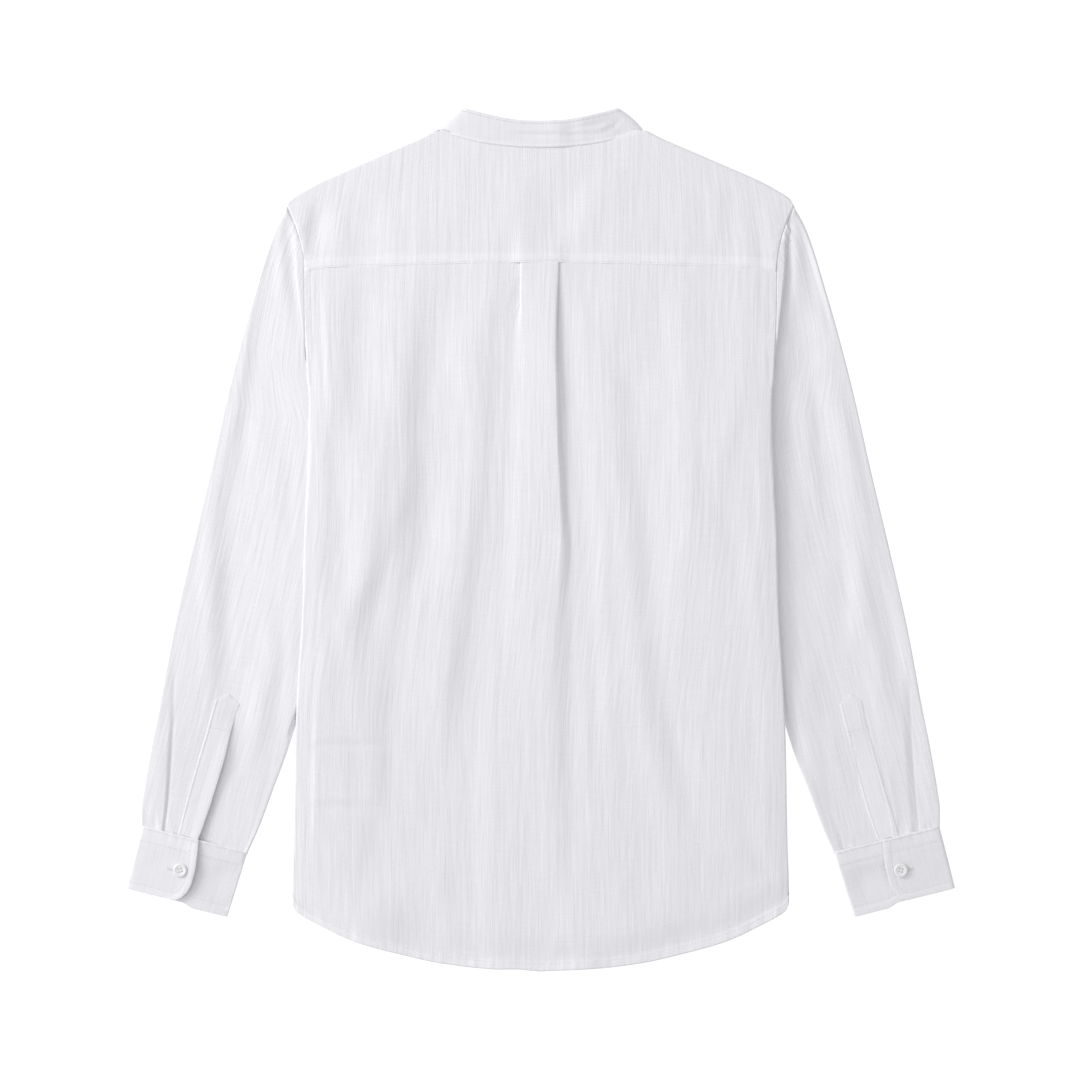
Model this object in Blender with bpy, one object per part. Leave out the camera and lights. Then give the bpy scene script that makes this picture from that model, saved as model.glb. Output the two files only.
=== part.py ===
"""A long-sleeved henley shirt with a stand collar, a back yoke and a box pleat, laid flat with its back up.

Each cut piece is a wall of cloth. The tables are in millimetres: x is measured from the centre line,
y runs up the back, and z is the height of the middle of the wall above the surface it lies on.
"""

import bisect
import math

import bmesh
import bpy

MM = 0.001
CLOTH = 1.2
SEAM_GAP = 0.3
STEP = CLOTH + SEAM_GAP
FLOOR = CLOTH / 2
BAND_CLOTH = 2.0
CUFF_CLOTH = 2.0
BAND_FLOOR = BAND_CLOTH / 2

BUTTON_WIDTH = 12.8
BUTTON_THICK = 2.2
FRONT_BUTTON_THICK = 1.9
FRONT_BUTTONS = (309.0, 245.0, 181.0)
PLACKET_LIFT = FRONT_BUTTON_THICK + 2 * SEAM_GAP + CLOTH + 0.3
NOTCH = 13.0
STRIP_HALF = 15.0
STRIP_TOP = 326.6
STRIP_END = 120.0
NOTCH_END = 126.0
UNDER_STRIP_ENDS = (301.2, 127.6)
NECK_GAP = 0.55

YOKE_TURN = (13.0, 32.0)
SHOULDER_ROUND = 4.2
SHOULDER_LEVEL = 7.2
HEAD_GAP = (0.5, -0.12)
YOKE_EDGE = 219.0
SHOULDER_TIP = 235.2
SEAM_CORNER = 249.5
FRONT_CORNER = (222.2, 279.2)
ARMHOLE_BOW = 3.4
UNDERARM = 93.0
HEM_SIDE = -336.0
FRONT_HEM_SIDE = -322.0
EDGE_RUN = 15.0
EDGE_ROLL = 3.8
LOWEST_BACK = 2.4
TURNED_END = UNDERARM - 21.0

CUFF_TOP = (371.8, -266.0)
CUFF_ALONG = (-0.9697, -0.2449)
CUFF_DOWN = (0.2449, -0.9697)
CUFF_WIDTH = 102.3
CUFF_LEVEL = 3.8
OVERLAP_LEVEL = CUFF_LEVEL + CUFF_CLOTH + SEAM_GAP
UNDERLAP_END = 38.0
CUFF_BUTTON = (45.7, 30.7)
SLEEVE_END = -290.6
SLIT = (0.49, 0.55)
PLACKET_TIP = -157.0
PLACKET_LEVEL = 8.2
OUTER_ROLL = 3.6
INNER_ROLL = 2.4
BENEATH_BODY = 2.8
OVER_FRONT = 6.3
SLEEVE_REST = 5.4
LOWEST_SLEEVE = 2.6

# Each table's first row names its columns.
SHOULDER = (
    ("x", "y"),
    (0.0, 400.0),
    (96.6, 381.8),
    (113.0, 373.9),
    (139.0, 362.7),
    (173.4, 347.8),
    (206.9, 332.9),
    (220.0, 325.6),
    (232.0, 317.5),
    (235.2, 312.0),
)
YOKE_SEAM = (
    ("x", "y"),
    (0.0, 258.2),
    (80.0, 256.8),
    (160.0, 254.4),
    (198.6, 253.0),
    (219.0, 249.6),
)
BACK_HEM = (
    ("x", "y"),
    (0.0, -402.0),
    (56.3, -399.0),
    (93.5, -394.3),
    (130.7, -386.0),
    (167.9, -375.7),
    (186.5, -368.3),
    (205.0, -359.0),
    (223.7, -348.8),
    (229.0, -344.3),
    (231.8, -336.0),
)
FRONT_HEM = (
    ("x", "y"),
    (0.0, -388.0),
    (60.0, -385.0),
    (112.0, -376.0),
    (150.0, -365.0),
    (186.0, -347.0),
    (205.0, -332.0),
    (216.0, -322.0),
)
# The visible side of the body: its edge, the height of the back there and of its turned-under part.
BODY_SIDE = (
    ("y", "edge", "top", "under"),
    (258.0, 219.6, 9.4, 4.8),
    (225.0, 219.4, 9.8, 4.8),
    (200.0, 218.9, 10.2, 4.8),
    (185.0, 218.2, 10.8, 4.8),
    (160.0, 217.4, 12.0, 4.8),
    (127.0, 215.3, 13.2, 4.8),
    (83.0, 216.2, 13.4, 4.8),
    (-9.0, 220.0, 13.2, 4.8),
    (-56.0, 221.0, 12.8, 4.8),
    (-102.0, 223.7, 12.2, 4.8),
    (-149.0, 226.5, 11.4, 4.8),
    (-166.0, 227.3, 10.9, 4.8),
    (-185.0, 228.0, 10.2, 3.8),
    (-215.0, 228.8, 8.9, 1.4),
    (-245.0, 229.3, 7.8, 0.6),
    (-288.0, 230.2, 6.2, 0.6),
    (-325.0, 231.6, 4.6, 0.6),
    (-402.0, 231.8, 4.2, 0.6),
)
# How far the back rolls round its side before the armhole seam, and how far it goes on beneath.
BACK_EDGE = (
    ("y", "roll", "wrap"),
    (258.0, 0.02, 0.0),
    (205.0, 0.04, 0.0),
    (187.0, 0.15, 0.0),
    (166.0, 0.5, 0.0),
    (145.0, 1.0, 0.5),
    (130.0, 1.0, 11.0),
    (115.0, 1.0, 22.0),
    (93.0, 1.0, 42.0),
)
FRONT_SIDE = (
    ("y", "x"),
    (FRONT_CORNER[1], FRONT_CORNER[0]),
    (250.0, 210.0),
    (215.0, 203.0),
    (180.0, 198.5),
    (145.0, 192.0),
    (115.0, 182.0),
    (93.0, 168.0),
    (75.0, 169.4),
    (60.0, 180.4),
    (40.0, 188.4),
    (0.0, 198.4),
    (-60.0, 203.8),
    (-150.0, 209.1),
    (-250.0, 212.8),
    (-322.0, 215.6),
)
# The rows of the front that its armhole shares with the sleeve, and the rows below them.
FRONT_ROWS = (
    FRONT_CORNER[1], SEAM_CORNER, 224.0, 208.0, 190.0, 170.0, 148.0, NOTCH_END, 108.0, UNDERARM,
    75.0, 60.0, 40.0, 0.0, -60.0, -110.0, -160.0, -210.0, -260.0, -300.0, FRONT_HEM_SIDE,
)
SLEEVE_OUTER = (
    ("y", "x"),
    (311.6, 235.6),
    (302.0, 241.3),
    (288.3, 247.8),
    (269.7, 254.4),
    (232.5, 265.5),
    (195.3, 276.2),
    (139.5, 290.6),
    (65.1, 307.4),
    (-9.3, 325.0),
    (-83.7, 341.8),
    (-158.1, 355.7),
    (-195.3, 363.2),
    (-232.5, 369.6),
    (-251.0, 372.0),
    (-265.8, 371.9),
)
# The sleeve's inner fold, hidden beneath the body down to y = -172.
SLEEVE_INNER = (
    ("y", "x"),
    (93.0, 171.6),
    (60.0, 173.0),
    (0.0, 180.5),
    (-60.0, 193.5),
    (-120.0, 211.0),
    (-172.0, 227.4),
    (-195.3, 234.8),
    (-232.5, 248.8),
    (-269.7, 262.7),
    (-291.1, 272.4),
)
SLEEVE_TILT = (
    ("y", "rise"),
    (249.5, 61.9),
    (208.0, 56.0),
    (143.0, 45.0),
    (93.0, 40.0),
    (0.0, 36.0),
    (-120.0, 30.0),
    (-215.0, 26.0),
    (-290.6, 24.8),
)
SLEEVE_ROWS = (
    SEAM_CORNER, 238.0, 224.0, 208.0, 190.0, 170.0, 148.0, 126.0, 108.0, UNDERARM, 55.0, 0.0, -60.0,
    -112.0, PLACKET_TIP, -190.0, -223.0, -256.0, SLEEVE_END,
)
# Where the points of a sleeve's row lie: a share of the way out on its upper layer, and on its lower one.
TOP_SHARES = (0.0, 0.05, 0.1, 0.16, 0.24, 0.33, 0.42, *SLIT, 0.63, 0.71, 0.79, 0.86, 0.93)
UNDER_SHARES = (0.93, 0.78, 0.62, 0.46, 0.3, 0.16, 0.06)
SHELF = (
    ("y", "edge"),
    (312.0, 234.5),
    (302.0, 232.0),
    (278.0, 228.6),
    (249.0, 227.2),
    (228.0, 225.0),
    (200.0, 221.8),
    (171.0, 218.4),
    (150.0, 215.0),
)
# The box pleat: its two edges, how far the cloth goes back beneath them, and the levels either side.
PLEAT = (
    ("y", "left", "right", "tuck_left", "tuck_right", "strip", "low_left", "low_right"),
    (258.2, -18.3, 16.7, 14.0, 14.0, 10.6, 6.6, 6.6),
    (240.0, -18.6, 16.2, 8.0, 8.5, 10.8, 6.7, 6.4),
    (222.0, -18.8, 15.6, 0.5, 1.0, 11.0, 6.8, 6.2),
    (205.0, -19.0, 15.1, -4.0, -2.5, 11.3, 7.0, 6.0),
    (183.0, -19.2, 14.9, -8.0, -4.5, 11.9, 7.2, 6.0),
    (140.0, -20.0, 14.8, -12.0, -6.0, 12.3, 7.4, 6.0),
    (100.0, -21.0, 15.2, -15.0, -7.0, 12.2, 7.5, 5.9),
    (50.0, -23.0, 16.2, -17.0, -8.0, 11.8, 7.4, 5.5),
    (0.0, -26.5, 18.0, -19.0, -9.0, 11.4, 7.2, 5.7),
    (-50.0, -32.0, 16.0, -20.0, -13.0, 10.8, 6.8, 5.8),
    (-110.0, -39.0, 11.0, -21.0, -17.0, 9.8, 6.3, 5.6),
    (-180.0, -45.0, 5.0, -21.0, -20.0, 8.6, 5.9, 5.2),
    (-260.0, -46.0, 5.0, -20.0, -20.0, 6.6, 4.8, 4.4),
    (-330.0, -46.0, 5.0, -20.0, -20.0, 4.2, 3.6, 3.4),
    (-402.0, -46.0, 5.0, -20.0, -20.0, 2.5, 2.4, 2.4),
)
# The level of the back between its folds, and how strongly its folds show.
BACK_LEVEL = (
    ("y", "z", "folds"),
    (258.2, 8.6, 0.5),
    (200.0, 8.8, 0.9),
    (100.0, 9.0, 1.0),
    (-100.0, 8.6, 1.0),
    (-200.0, 7.2, 0.9),
    (-290.0, 5.0, 0.5),
    (-350.0, 3.0, 0.2),
    (-402.0, 2.4, 0.0),
)
# Soft folds of the back, as a line at four places down it: depth is below the cloth between folds.
BACK_FOLDS = (
    ("top", "x1", "x2", "x3", "x4", "bottom", "depth", "left_width", "right_width"),
    (215.0, -196.0, -178.0, -186.0, -190.0, 90.0, 2.2, 9.0, 12.0),
    (190.0, -103.0, -108.0, -150.0, -180.0, -160.0, 3.6, 14.0, 9.0),
    (80.0, -196.0, -186.0, -180.0, -172.0, -120.0, 1.4, 10.0, 14.0),
    (150.0, 95.0, 97.0, 102.0, 112.0, -270.0, 2.2, 16.0, 12.0),
    (240.0, 150.0, 148.0, 154.0, 158.0, 60.0, 1.6, 10.0, 12.0),
    (130.0, 184.0, 172.0, 168.0, 176.0, -90.0, 1.8, 9.0, 14.0),
    (230.0, -60.0, -62.0, -66.0, -70.0, 20.0, 1.0, 9.0, 9.0),
)
YOKE_FOLDS = (
    ("top", "x1", "x2", "x3", "x4", "bottom", "depth", "left_width", "right_width"),
    (326.0, -217.0, -214.5, -214.0, -216.0, 268.0, 2.4, 4.0, 5.0),
    (300.0, -176.0, -177.5, -179.0, -180.0, 250.0, 1.8, 8.0, 8.0),
    (318.0, 160.0, 159.0, 157.0, 158.0, 250.0, 1.8, 7.0, 8.0),
    (300.0, 199.0, 197.0, 199.0, 205.0, 250.0, 1.4, 5.0, 6.0),
    (345.0, -8.0, -22.0, -14.0, 2.0, 268.0, 1.0, 12.0, 12.0),
)
# Folds of a sleeve, as distances from the centre line, on the left sleeve and on the right.
LEFT_SLEEVE_FOLDS = (
    ("top", "x1", "x2", "x3", "x4", "bottom", "depth", "left_width", "right_width"),
    (235.0, 260.0, 279.0, 294.0, 304.0, -20.0, 1.5, 5.0, 8.0),
    (-20.0, 298.0, 304.0, 306.0, 302.0, -135.0, 1.5, 7.0, 9.0),
    (-40.0, 248.0, 252.0, 256.0, 250.0, -180.0, 1.2, 8.0, 8.0),
)
RIGHT_SLEEVE_FOLDS = (
    ("top", "x1", "x2", "x3", "x4", "bottom", "depth", "left_width", "right_width"),
    (160.0, 252.0, 254.0, 260.0, 268.0, -90.0, 1.3, 8.0, 8.0),
    (-10.0, 300.0, 316.0, 334.0, 341.0, -165.0, 1.8, 9.0, 6.0),
    (-90.0, 262.0, 268.0, 270.0, 276.0, -190.0, 1.2, 8.0, 8.0),
)
CUFF_PLEAT = (
    ("y", "x", "depth"),
    (-110.0, 342.0, 0.0),
    (-160.0, 343.0, 0.7),
    (-205.0, 345.5, 1.4),
    (-242.0, 348.3, 1.8),
    (-275.0, 352.0, 2.0),
)
# The pointed strip over a sleeve's slit: its free and its stitched edge, as shares of the way out.
SLEEVE_PLACKET = (
    ("row", "free", "stitched"),
    (-164.0, 0.45, 0.61),
    (-185.0, 0.448, 0.622),
    (-210.0, 0.452, 0.63),
    (-235.0, 0.456, 0.637),
    (-260.0, 0.461, 0.645),
    (-290.4, 0.465, 0.652),
)
# The rounded end of a cuff: how far round the cuff it comes, at a distance down from the sleeve.
CUFF_END = (
    ("down", "along"),
    (0.0, 55.6),
    (14.0, 57.7),
    (28.0, 59.2),
    (40.0, 59.0),
    (48.0, 57.2),
    (54.0, 54.0),
    (57.8, 50.0),
    (59.6, 45.0),
)
# The band's half ring, from the middle of the back round its folded side to the middle of the front.
BAND = (
    ("place", "seam_x", "seam_y", "seam_z", "edge_x", "edge_y", "edge_z"),
    (0.0, 0.0, 365.2, 9.0, 0.0, 389.4, 7.6),
    (1.0, 21.0, 365.8, 9.0, 18.0, 390.0, 7.6),
    (2.0, 42.0, 367.8, 9.0, 36.0, 392.6, 7.6),
    (3.0, 60.0, 370.6, 8.9, 50.0, 395.8, 7.5),
    (4.0, 78.0, 375.4, 8.4, 62.0, 398.8, 7.2),
    (5.0, 90.0, 379.4, 7.0, 69.5, 400.8, 6.3),
    (6.0, 95.4, 380.4, 4.4, 72.4, 401.4, 4.2),
    (7.0, 91.0, 375.0, 1.5, 68.5, 397.0, 1.5),
    (8.0, 83.0, 350.5, 1.0, 60.0, 372.0, 1.0),
    (9.0, 65.5, 325.6, 1.0, 46.0, 349.0, 1.0),
    (10.0, 39.6, 309.0, 1.0, 28.0, 333.6, 1.0),
    (11.0, 16.0, 302.8, 1.0, 12.0, 328.2, 1.0),
    (12.0, 0.5, 302.0, 1.0, 0.5, 327.0, 1.0),
)
BAND_SEAM = (("x", "y"),) + tuple((row[1], row[2]) for row in BAND[1:8])
# How the back's and the yoke's rows are divided.
PLEAT_PARTS = 8
SIDE_PARTS = 9
EDGE_PARTS = 9
BACK_TOP = SEAM_CORNER - 0.2
BACK_ROWS = SLEEVE_ROWS[:9] + tuple(y for y in FRONT_ROWS if y <= UNDERARM)
BACK_DOWN = tuple(max(0.0, (BACK_TOP - y) / (BACK_TOP - FRONT_HEM_SIDE)) for y in BACK_ROWS)
RISE_PARTS = (0.0, 0.12, 0.28, 0.45, 0.62, 0.8, 1.0)
TURN_ANGLES = (40.0, 80.0, 120.0, 160.0)

LINEN = (0.83, 0.825, 0.86, 1.0)
BUTTON_WHITE = (0.80, 0.80, 0.82, 1.0)


def read(table, name, at):
    """The named column's value at a place along the table's first column, on a smooth curve with no overshoot."""
    column = table[0].index(name)
    rows = table[1:] if table[1][0] < table[-1][0] else table[:0:-1]
    keys = [row[0] for row in rows]
    values = [row[column] for row in rows]
    at = min(max(at, keys[0]), keys[-1])
    first = min(max(bisect.bisect_right(keys, at) - 1, 0), len(keys) - 2)
    slopes = [(values[i + 1] - values[i]) / (keys[i + 1] - keys[i]) for i in range(len(keys) - 1)]

    def tangent(i):
        if i == 0 or i == len(slopes):
            return slopes[min(i, len(slopes) - 1)]
        before, after = slopes[i - 1], slopes[i]
        if before * after <= 0:
            return 0.0
        return 2 * before * after / (before + after)

    run = keys[first + 1] - keys[first]
    t = (at - keys[first]) / run
    start = (1 + 2 * t) * (1 - t) ** 2 * values[first] + t * (1 - t) ** 2 * run * tangent(first)
    end = t * t * (3 - 2 * t) * values[first + 1] + t * t * (t - 1) * run * tangent(first + 1)
    return start + end


def ease(x, start, end):
    """0 before start, 1 after end, and smooth between them."""
    t = min(max((x - start) / (end - start), 0.0), 1.0)
    return t * t * (3 - 2 * t)


def mix(a, b, t):
    return a + (b - a) * t


def fold_depth(folds, x, y):
    """How far the folds of a table draw the cloth down at a place."""
    depth = 0.0
    for top, x1, x2, x3, x4, bottom, deep, left_width, right_width in folds[1:]:
        along = (top - y) / (top - bottom)
        if not -0.15 < along < 1.15:
            continue
        line = (("t", "x"), (0.0, x1), (1 / 3, x2), (2 / 3, x3), (1.0, x4))
        away = x - read(line, "x", along)
        width = left_width if away < 0 else right_width
        fade = ease(along, -0.15, 0.2) * (1 - ease(along, 0.8, 1.15))
        depth += deep * fade * math.exp(-((away / width) ** 2))
    return depth


def placket_lift(x, y):
    """How far the front placket and its buttons hold the front panel off the surface."""
    side = 1 - ease(abs(x), STRIP_HALF + 3, STRIP_HALF + 45)
    along = ease(y, STRIP_END - 65, STRIP_END - 14)
    return PLACKET_LIFT * side * along


def beneath_level(x, y):
    """The level of the body's lower layer at its sides, which lies over the sleeve and then on the surface."""
    under = read(BODY_SIDE, "under", y)
    over_sleeve = 1 - ease(y, 72.0, 95.0)
    inner = read(SLEEVE_INNER, "x", y)
    return FLOOR + (under - FLOOR) * over_sleeve * ease(x, inner - 34, inner - 6)


def front_edge(y):
    """The front panel's side at y, straight between its rows, so that what is sewn to it follows it."""
    for above, below in zip(FRONT_ROWS, FRONT_ROWS[1:]):
        if y >= below:
            t = min(max((y - below) / (above - below), 0.0), 1.0)
            return mix(read(FRONT_SIDE, "x", below), read(FRONT_SIDE, "x", above), t)
    return read(FRONT_SIDE, "x", FRONT_ROWS[-1])


def new_object(name, mesh, colour, roughness):
    material = bpy.data.materials.get(colour) or bpy.data.materials.new(colour)
    material.use_nodes = True
    shader = material.node_tree.nodes["Principled BSDF"]
    shader.inputs["Base Color"].default_value = LINEN if colour == "linen" else BUTTON_WHITE
    shader.inputs["Roughness"].default_value = roughness
    mesh.materials.append(material)
    made = bpy.data.objects.new(name, mesh)
    bpy.context.collection.objects.link(made)
    return made


def sheet(name, rows, thick, keep=None):
    """A wall of cloth through rows of points. keep says which faces of the grid are cloth."""
    shape = bmesh.new()
    across = len(rows[0])
    bmesh.ops.create_grid(shape, x_segments=across - 1, y_segments=len(rows) - 1, size=1)
    shape.verts.ensure_lookup_table()
    for index, vertex in enumerate(shape.verts):
        row, column = divmod(index, across)
        vertex.co = [value * MM for value in rows[row][column]]
    if keep:
        shape.faces.ensure_lookup_table()
        drop = [
            face
            for index, face in enumerate(shape.faces)
            if not keep(*divmod(index, across - 1))
        ]
        bmesh.ops.delete(shape, geom=drop, context="FACES")
    bmesh.ops.remove_doubles(shape, verts=shape.verts, dist=0.02 * MM)
    bmesh.ops.recalc_face_normals(shape, faces=shape.faces)
    mesh = bpy.data.meshes.new(name)
    shape.to_mesh(mesh)
    shape.free()
    mesh.shade_smooth()
    made = new_object(name, mesh, "linen", 0.9)
    wall = made.modifiers.new("wall", "SOLIDIFY")
    wall.thickness = thick * MM
    wall.offset = 0.0
    wall.use_even_offset = True
    wall.use_quality_normals = True
    return made


def button(name, centre, low, thick):
    """A round button with a softened rim, its lower face flat."""
    shape = bmesh.new()
    bmesh.ops.create_cone(
        shape,
        cap_ends=True,
        segments=24,
        radius1=BUTTON_WIDTH / 2 * MM,
        radius2=BUTTON_WIDTH / 2 * MM,
        depth=thick * MM,
    )
    top_rim = [edge for edge in shape.edges if all(v.co.z > 0 for v in edge.verts)]
    bmesh.ops.bevel(shape, geom=top_rim, offset=0.4 * MM, segments=1, profile=0.5, affect="EDGES")
    bmesh.ops.translate(
        shape, verts=shape.verts, vec=(centre[0] * MM, centre[1] * MM, (low + thick / 2) * MM)
    )
    mesh = bpy.data.meshes.new(name)
    shape.to_mesh(mesh)
    shape.free()
    return new_object(name, mesh, "button", 0.35)


def pleat_side(y, side):
    """One side of the box pleat, from the strip outwards, as (x, z) with x growing away from the strip."""
    name = "right" if side > 0 else "left"
    fold = read(PLEAT, name, y) * side
    tuck = read(PLEAT, "tuck_" + name, y)
    strip = read(PLEAT, "strip", y)
    low = read(PLEAT, "low_" + name, y)
    tall = strip - low
    middle = (strip + low) / 2
    turn = min(0.9, tuck / 2)
    return [
        (fold - 6.0, strip),
        (fold - 1.4, strip),
        (fold, strip - tall / 4),
        (fold - turn, middle + tall * 0.02),
        (fold - tuck + turn, middle - tall * 0.02),
        (fold - tuck, low + tall / 4),
        (fold - tuck + 1.4, low),
        (fold - tuck + 9.0, low + 0.2),
    ]


def back_height(x, y):
    """The back's height away from its pleat and its edges."""
    level = read(BACK_LEVEL, "z", y) - read(BACK_LEVEL, "folds", y) * fold_depth(BACK_FOLDS, x, y)
    edge = read(BODY_SIDE, "edge", y) - EDGE_RUN
    rise = ease(abs(x), edge - 30, edge)
    return max(mix(level, read(BODY_SIDE, "top", y), rise), LOWEST_BACK)


def edge_path(y, part):
    """The back's side at y as (x, z, outward x, outward z), from part 0, near the edge, to 1, its seam."""
    roll = read(BACK_EDGE, "roll", y)
    wrap = read(BACK_EDGE, "wrap", y)
    top = read(BODY_SIDE, "top", y)
    under = read(BODY_SIDE, "under", y)
    rise = (top - under) / 2
    edge = read(BODY_SIDE, "edge", y) - CLOTH / 2
    centre = edge - EDGE_ROLL * math.sin(min(roll, 0.5) * math.pi)
    if y < UNDERARM:
        wrap = centre - front_edge(y) - SEAM_GAP
    flat = EDGE_RUN - EDGE_ROLL
    arc = roll * math.pi * (rise + EDGE_ROLL) / 2
    place = part * (flat + arc + wrap)
    if place <= flat:
        return centre - flat + place, top, 0.0, 1.0
    if place <= flat + arc:
        angle = (place - flat) / arc * roll * math.pi
        x = centre + EDGE_ROLL * math.sin(angle)
        return x, (top + under) / 2 + rise * math.cos(angle), math.sin(angle), math.cos(angle)
    x = centre - (place - flat - arc)
    level = under if y > TURNED_END else beneath_level(x, y)
    return x, level, 0.0, -1.0


def back_point(index, y, side):
    """(x, z) of one point of the back's row, from the pleat out to the side seam, at about y."""
    if index < PLEAT_PARTS:
        return pleat_side(y, side)[index]
    past = index - PLEAT_PARTS - SIDE_PARTS
    if past >= 0:
        return edge_path(y, past / (EDGE_PARTS - 1))[:2]
    start, level = pleat_side(y, side)[-1]
    x = mix(start, edge_path(y, 0.0)[0], (index - PLEAT_PARTS + 1) / (SIDE_PARTS + 1))
    return x, mix(level, back_height(x * side, y), ease(x, start, start + 24))


def back_half(down, side):
    """One row of the back from its middle out to one side seam."""
    y = mix(read(YOKE_SEAM, "y", 0.0), read(BACK_HEM, "y", 0.0), down)
    row = []
    for index in range(PLEAT_PARTS + SIDE_PARTS + EDGE_PARTS):
        past = index - PLEAT_PARTS - SIDE_PARTS
        for _ in range(3):
            x, z = back_point(index, y, side)
            top_y = read(YOKE_SEAM, "y", x) - SEAM_GAP
            hem_y = read(BACK_HEM, "y", x)
            if past >= EDGE_PARTS / 2:
                top_y = BACK_TOP
                hem_y = mix(HEM_SIDE, FRONT_HEM_SIDE, past / (EDGE_PARTS - 1))
            y = mix(top_y, hem_y, down)
        row.append((x * side, y, z))
    return row


def back_panel():
    rows = []
    for down in BACK_DOWN:
        left = back_half(down, -1)
        right = back_half(down, 1)
        middle = ((left[0][0] + right[0][0]) / 2, left[0][1], left[0][2])
        rows.append(left[::-1] + [middle] + right)
    sheet("back_panel", rows, CLOTH)


def front_neck():
    """The front neckline from the slit to the shoulder seam, just below the band's own points."""
    points = []
    for place in (10.5, 10.0, 9.5, 9.0, 8.5, 8.0):
        points.append((read(BAND, "seam_x", place), read(BAND, "seam_y", place) - NECK_GAP))
    slit_y = mix(read(BAND, "seam_y", 11.5), read(BAND, "seam_y", 11.0), 0.6) - NECK_GAP
    return [(NOTCH, slit_y)] + points


def front_panel():
    neck = front_neck()
    corner_x, corner_y = neck[-1]
    top = list(neck)
    for along in (0.2, 0.4, 0.6, 0.8, 0.92, 1.0):
        top.append((mix(corner_x, FRONT_CORNER[0], along), mix(corner_y, FRONT_CORNER[1], along)))
    shares = [(x - NOTCH) / (FRONT_CORNER[0] - NOTCH) for x, _ in top]
    rows = []
    for side_y in FRONT_ROWS:
        down = (FRONT_CORNER[1] - side_y) / (FRONT_CORNER[1] - FRONT_HEM_SIDE)
        half = []
        for share, (_, top_y) in zip(shares, top):
            x = mix(NOTCH, read(FRONT_SIDE, "x", side_y), share)
            hem_x = mix(NOTCH, read(FRONT_SIDE, "x", FRONT_HEM_SIDE), share)
            y = mix(top_y, read(FRONT_HEM, "y", hem_x), down)
            half.append((x, y, beneath_level(x, y) + placket_lift(x, y)))
        rows.append([(-x, y, z) for x, y, z in reversed(half)] + half)
    middle = len(shares) - 1
    notch_row = FRONT_ROWS.index(NOTCH_END)
    sheet("front_panel", rows, CLOTH, lambda row, column: column != middle or row >= notch_row)


def front_placket():
    """The strip with the buttons, outermost, and the strip beneath it, which fills the panel's slit."""
    outer = []
    for step in range(9):
        y = mix(STRIP_TOP, STRIP_END, step / 8)
        outer.append([(x, y, FLOOR + PLACKET_LIFT - STEP) for x in (-STRIP_HALF, 0.0, STRIP_HALF)])
    sheet("front_placket", outer, CLOTH)
    inner = []
    half = NOTCH - SEAM_GAP
    for step in range(7):
        y = mix(*UNDER_STRIP_ENDS, step / 6)
        inner.append([(x, y, FLOOR + PLACKET_LIFT) for x in (-half, 0.0, half)])
    sheet("front_placket_under", inner, CLOTH)
    for number, y in enumerate(FRONT_BUTTONS, 1):
        button(f"front_button_{number}", (0.0, y), 0.0, FRONT_BUTTON_THICK)


def yoke_height(x, y):
    """The yoke's height, which meets the back's at the seam and the band's at the neck."""
    seam = read(YOKE_SEAM, "y", abs(x))
    strip = ease(x, -30.0, -16.0) * (1 - ease(x, 14.0, 28.0))
    at_seam = mix(back_height(x, seam), read(PLEAT, "strip", seam), strip)
    edge_rise = ease(abs(x), 196.0, 216.0)
    at_seam = mix(at_seam, read(BODY_SIDE, "top", seam), edge_rise)
    above = mix(8.8, 8.4, ease(abs(x), 90.0, 220.0))
    return mix(at_seam, above, ease(y, seam, seam + 50)) - fold_depth(YOKE_FOLDS, x, y)


def yoke_column(share, side):
    """The yoke from its back seam over the shoulder to its front seam, a share of the way out to the armhole."""
    bottom_x = share * YOKE_EDGE
    top_x = share * SHOULDER_TIP
    bottom_y = read(YOKE_SEAM, "y", bottom_x)
    at_neck = top_x < 96.5
    shoulder_y = read(SHOULDER, "y", top_x) - CLOTH / 2 - SHOULDER_ROUND
    top_y = read(BAND_SEAM, "y", top_x) - NECK_GAP if at_neck else shoulder_y
    level = 8.9 if at_neck else SHOULDER_LEVEL
    bow = ARMHOLE_BOW * ease(share, 0.8, 1.0)
    line = []
    for part in RISE_PARTS:
        x = mix(bottom_x, top_x, part) - bow * 4 * part * (1 - part)
        y = mix(bottom_y, top_y, part)
        z = mix(yoke_height(x * side, y), level, ease(part, 0.55, 1.0))
        line.append((x * side, y, z))
    for angle in TURN_ANGLES:
        turn = math.radians(angle)
        z = mix(FLOOR, level, 0.5 + 0.5 * math.cos(turn))
        line.append((top_x * side, shoulder_y + SHOULDER_ROUND * math.sin(turn), z))
    for part in (0.25, 0.6, 1.0):
        x = top_x - YOKE_TURN[0] * part
        front_y = shoulder_y + CLOTH / 2 + SHOULDER_ROUND - YOKE_TURN[1] + SEAM_GAP
        line.append((x * side, mix(shoulder_y, front_y, part), FLOOR))
    return line


def yoke():
    neck_x = [read(BAND, "seam_x", place) for place in (0.0, 1.0, 2.0, 3.0, 4.0, 5.0)]
    shares = [x / SHOULDER_TIP for x in neck_x + [96.6]]
    neck = len(shares) - 1
    shares += [0.5, 0.6, 0.7, 0.79, 0.87, 0.94, 1.0]
    columns = [yoke_column(share, -1) for share in reversed(shares[1:])]
    columns += [yoke_column(share, 1) for share in shares]
    rows = list(zip(*columns))
    first = len(shares) - 1 - neck
    last = len(shares) - 1 + neck
    top_rows = len(RISE_PARTS) - 1
    sheet(
        "yoke",
        rows,
        CLOTH,
        lambda row, column: row < top_rows or not first <= column < last,
    )


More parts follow.
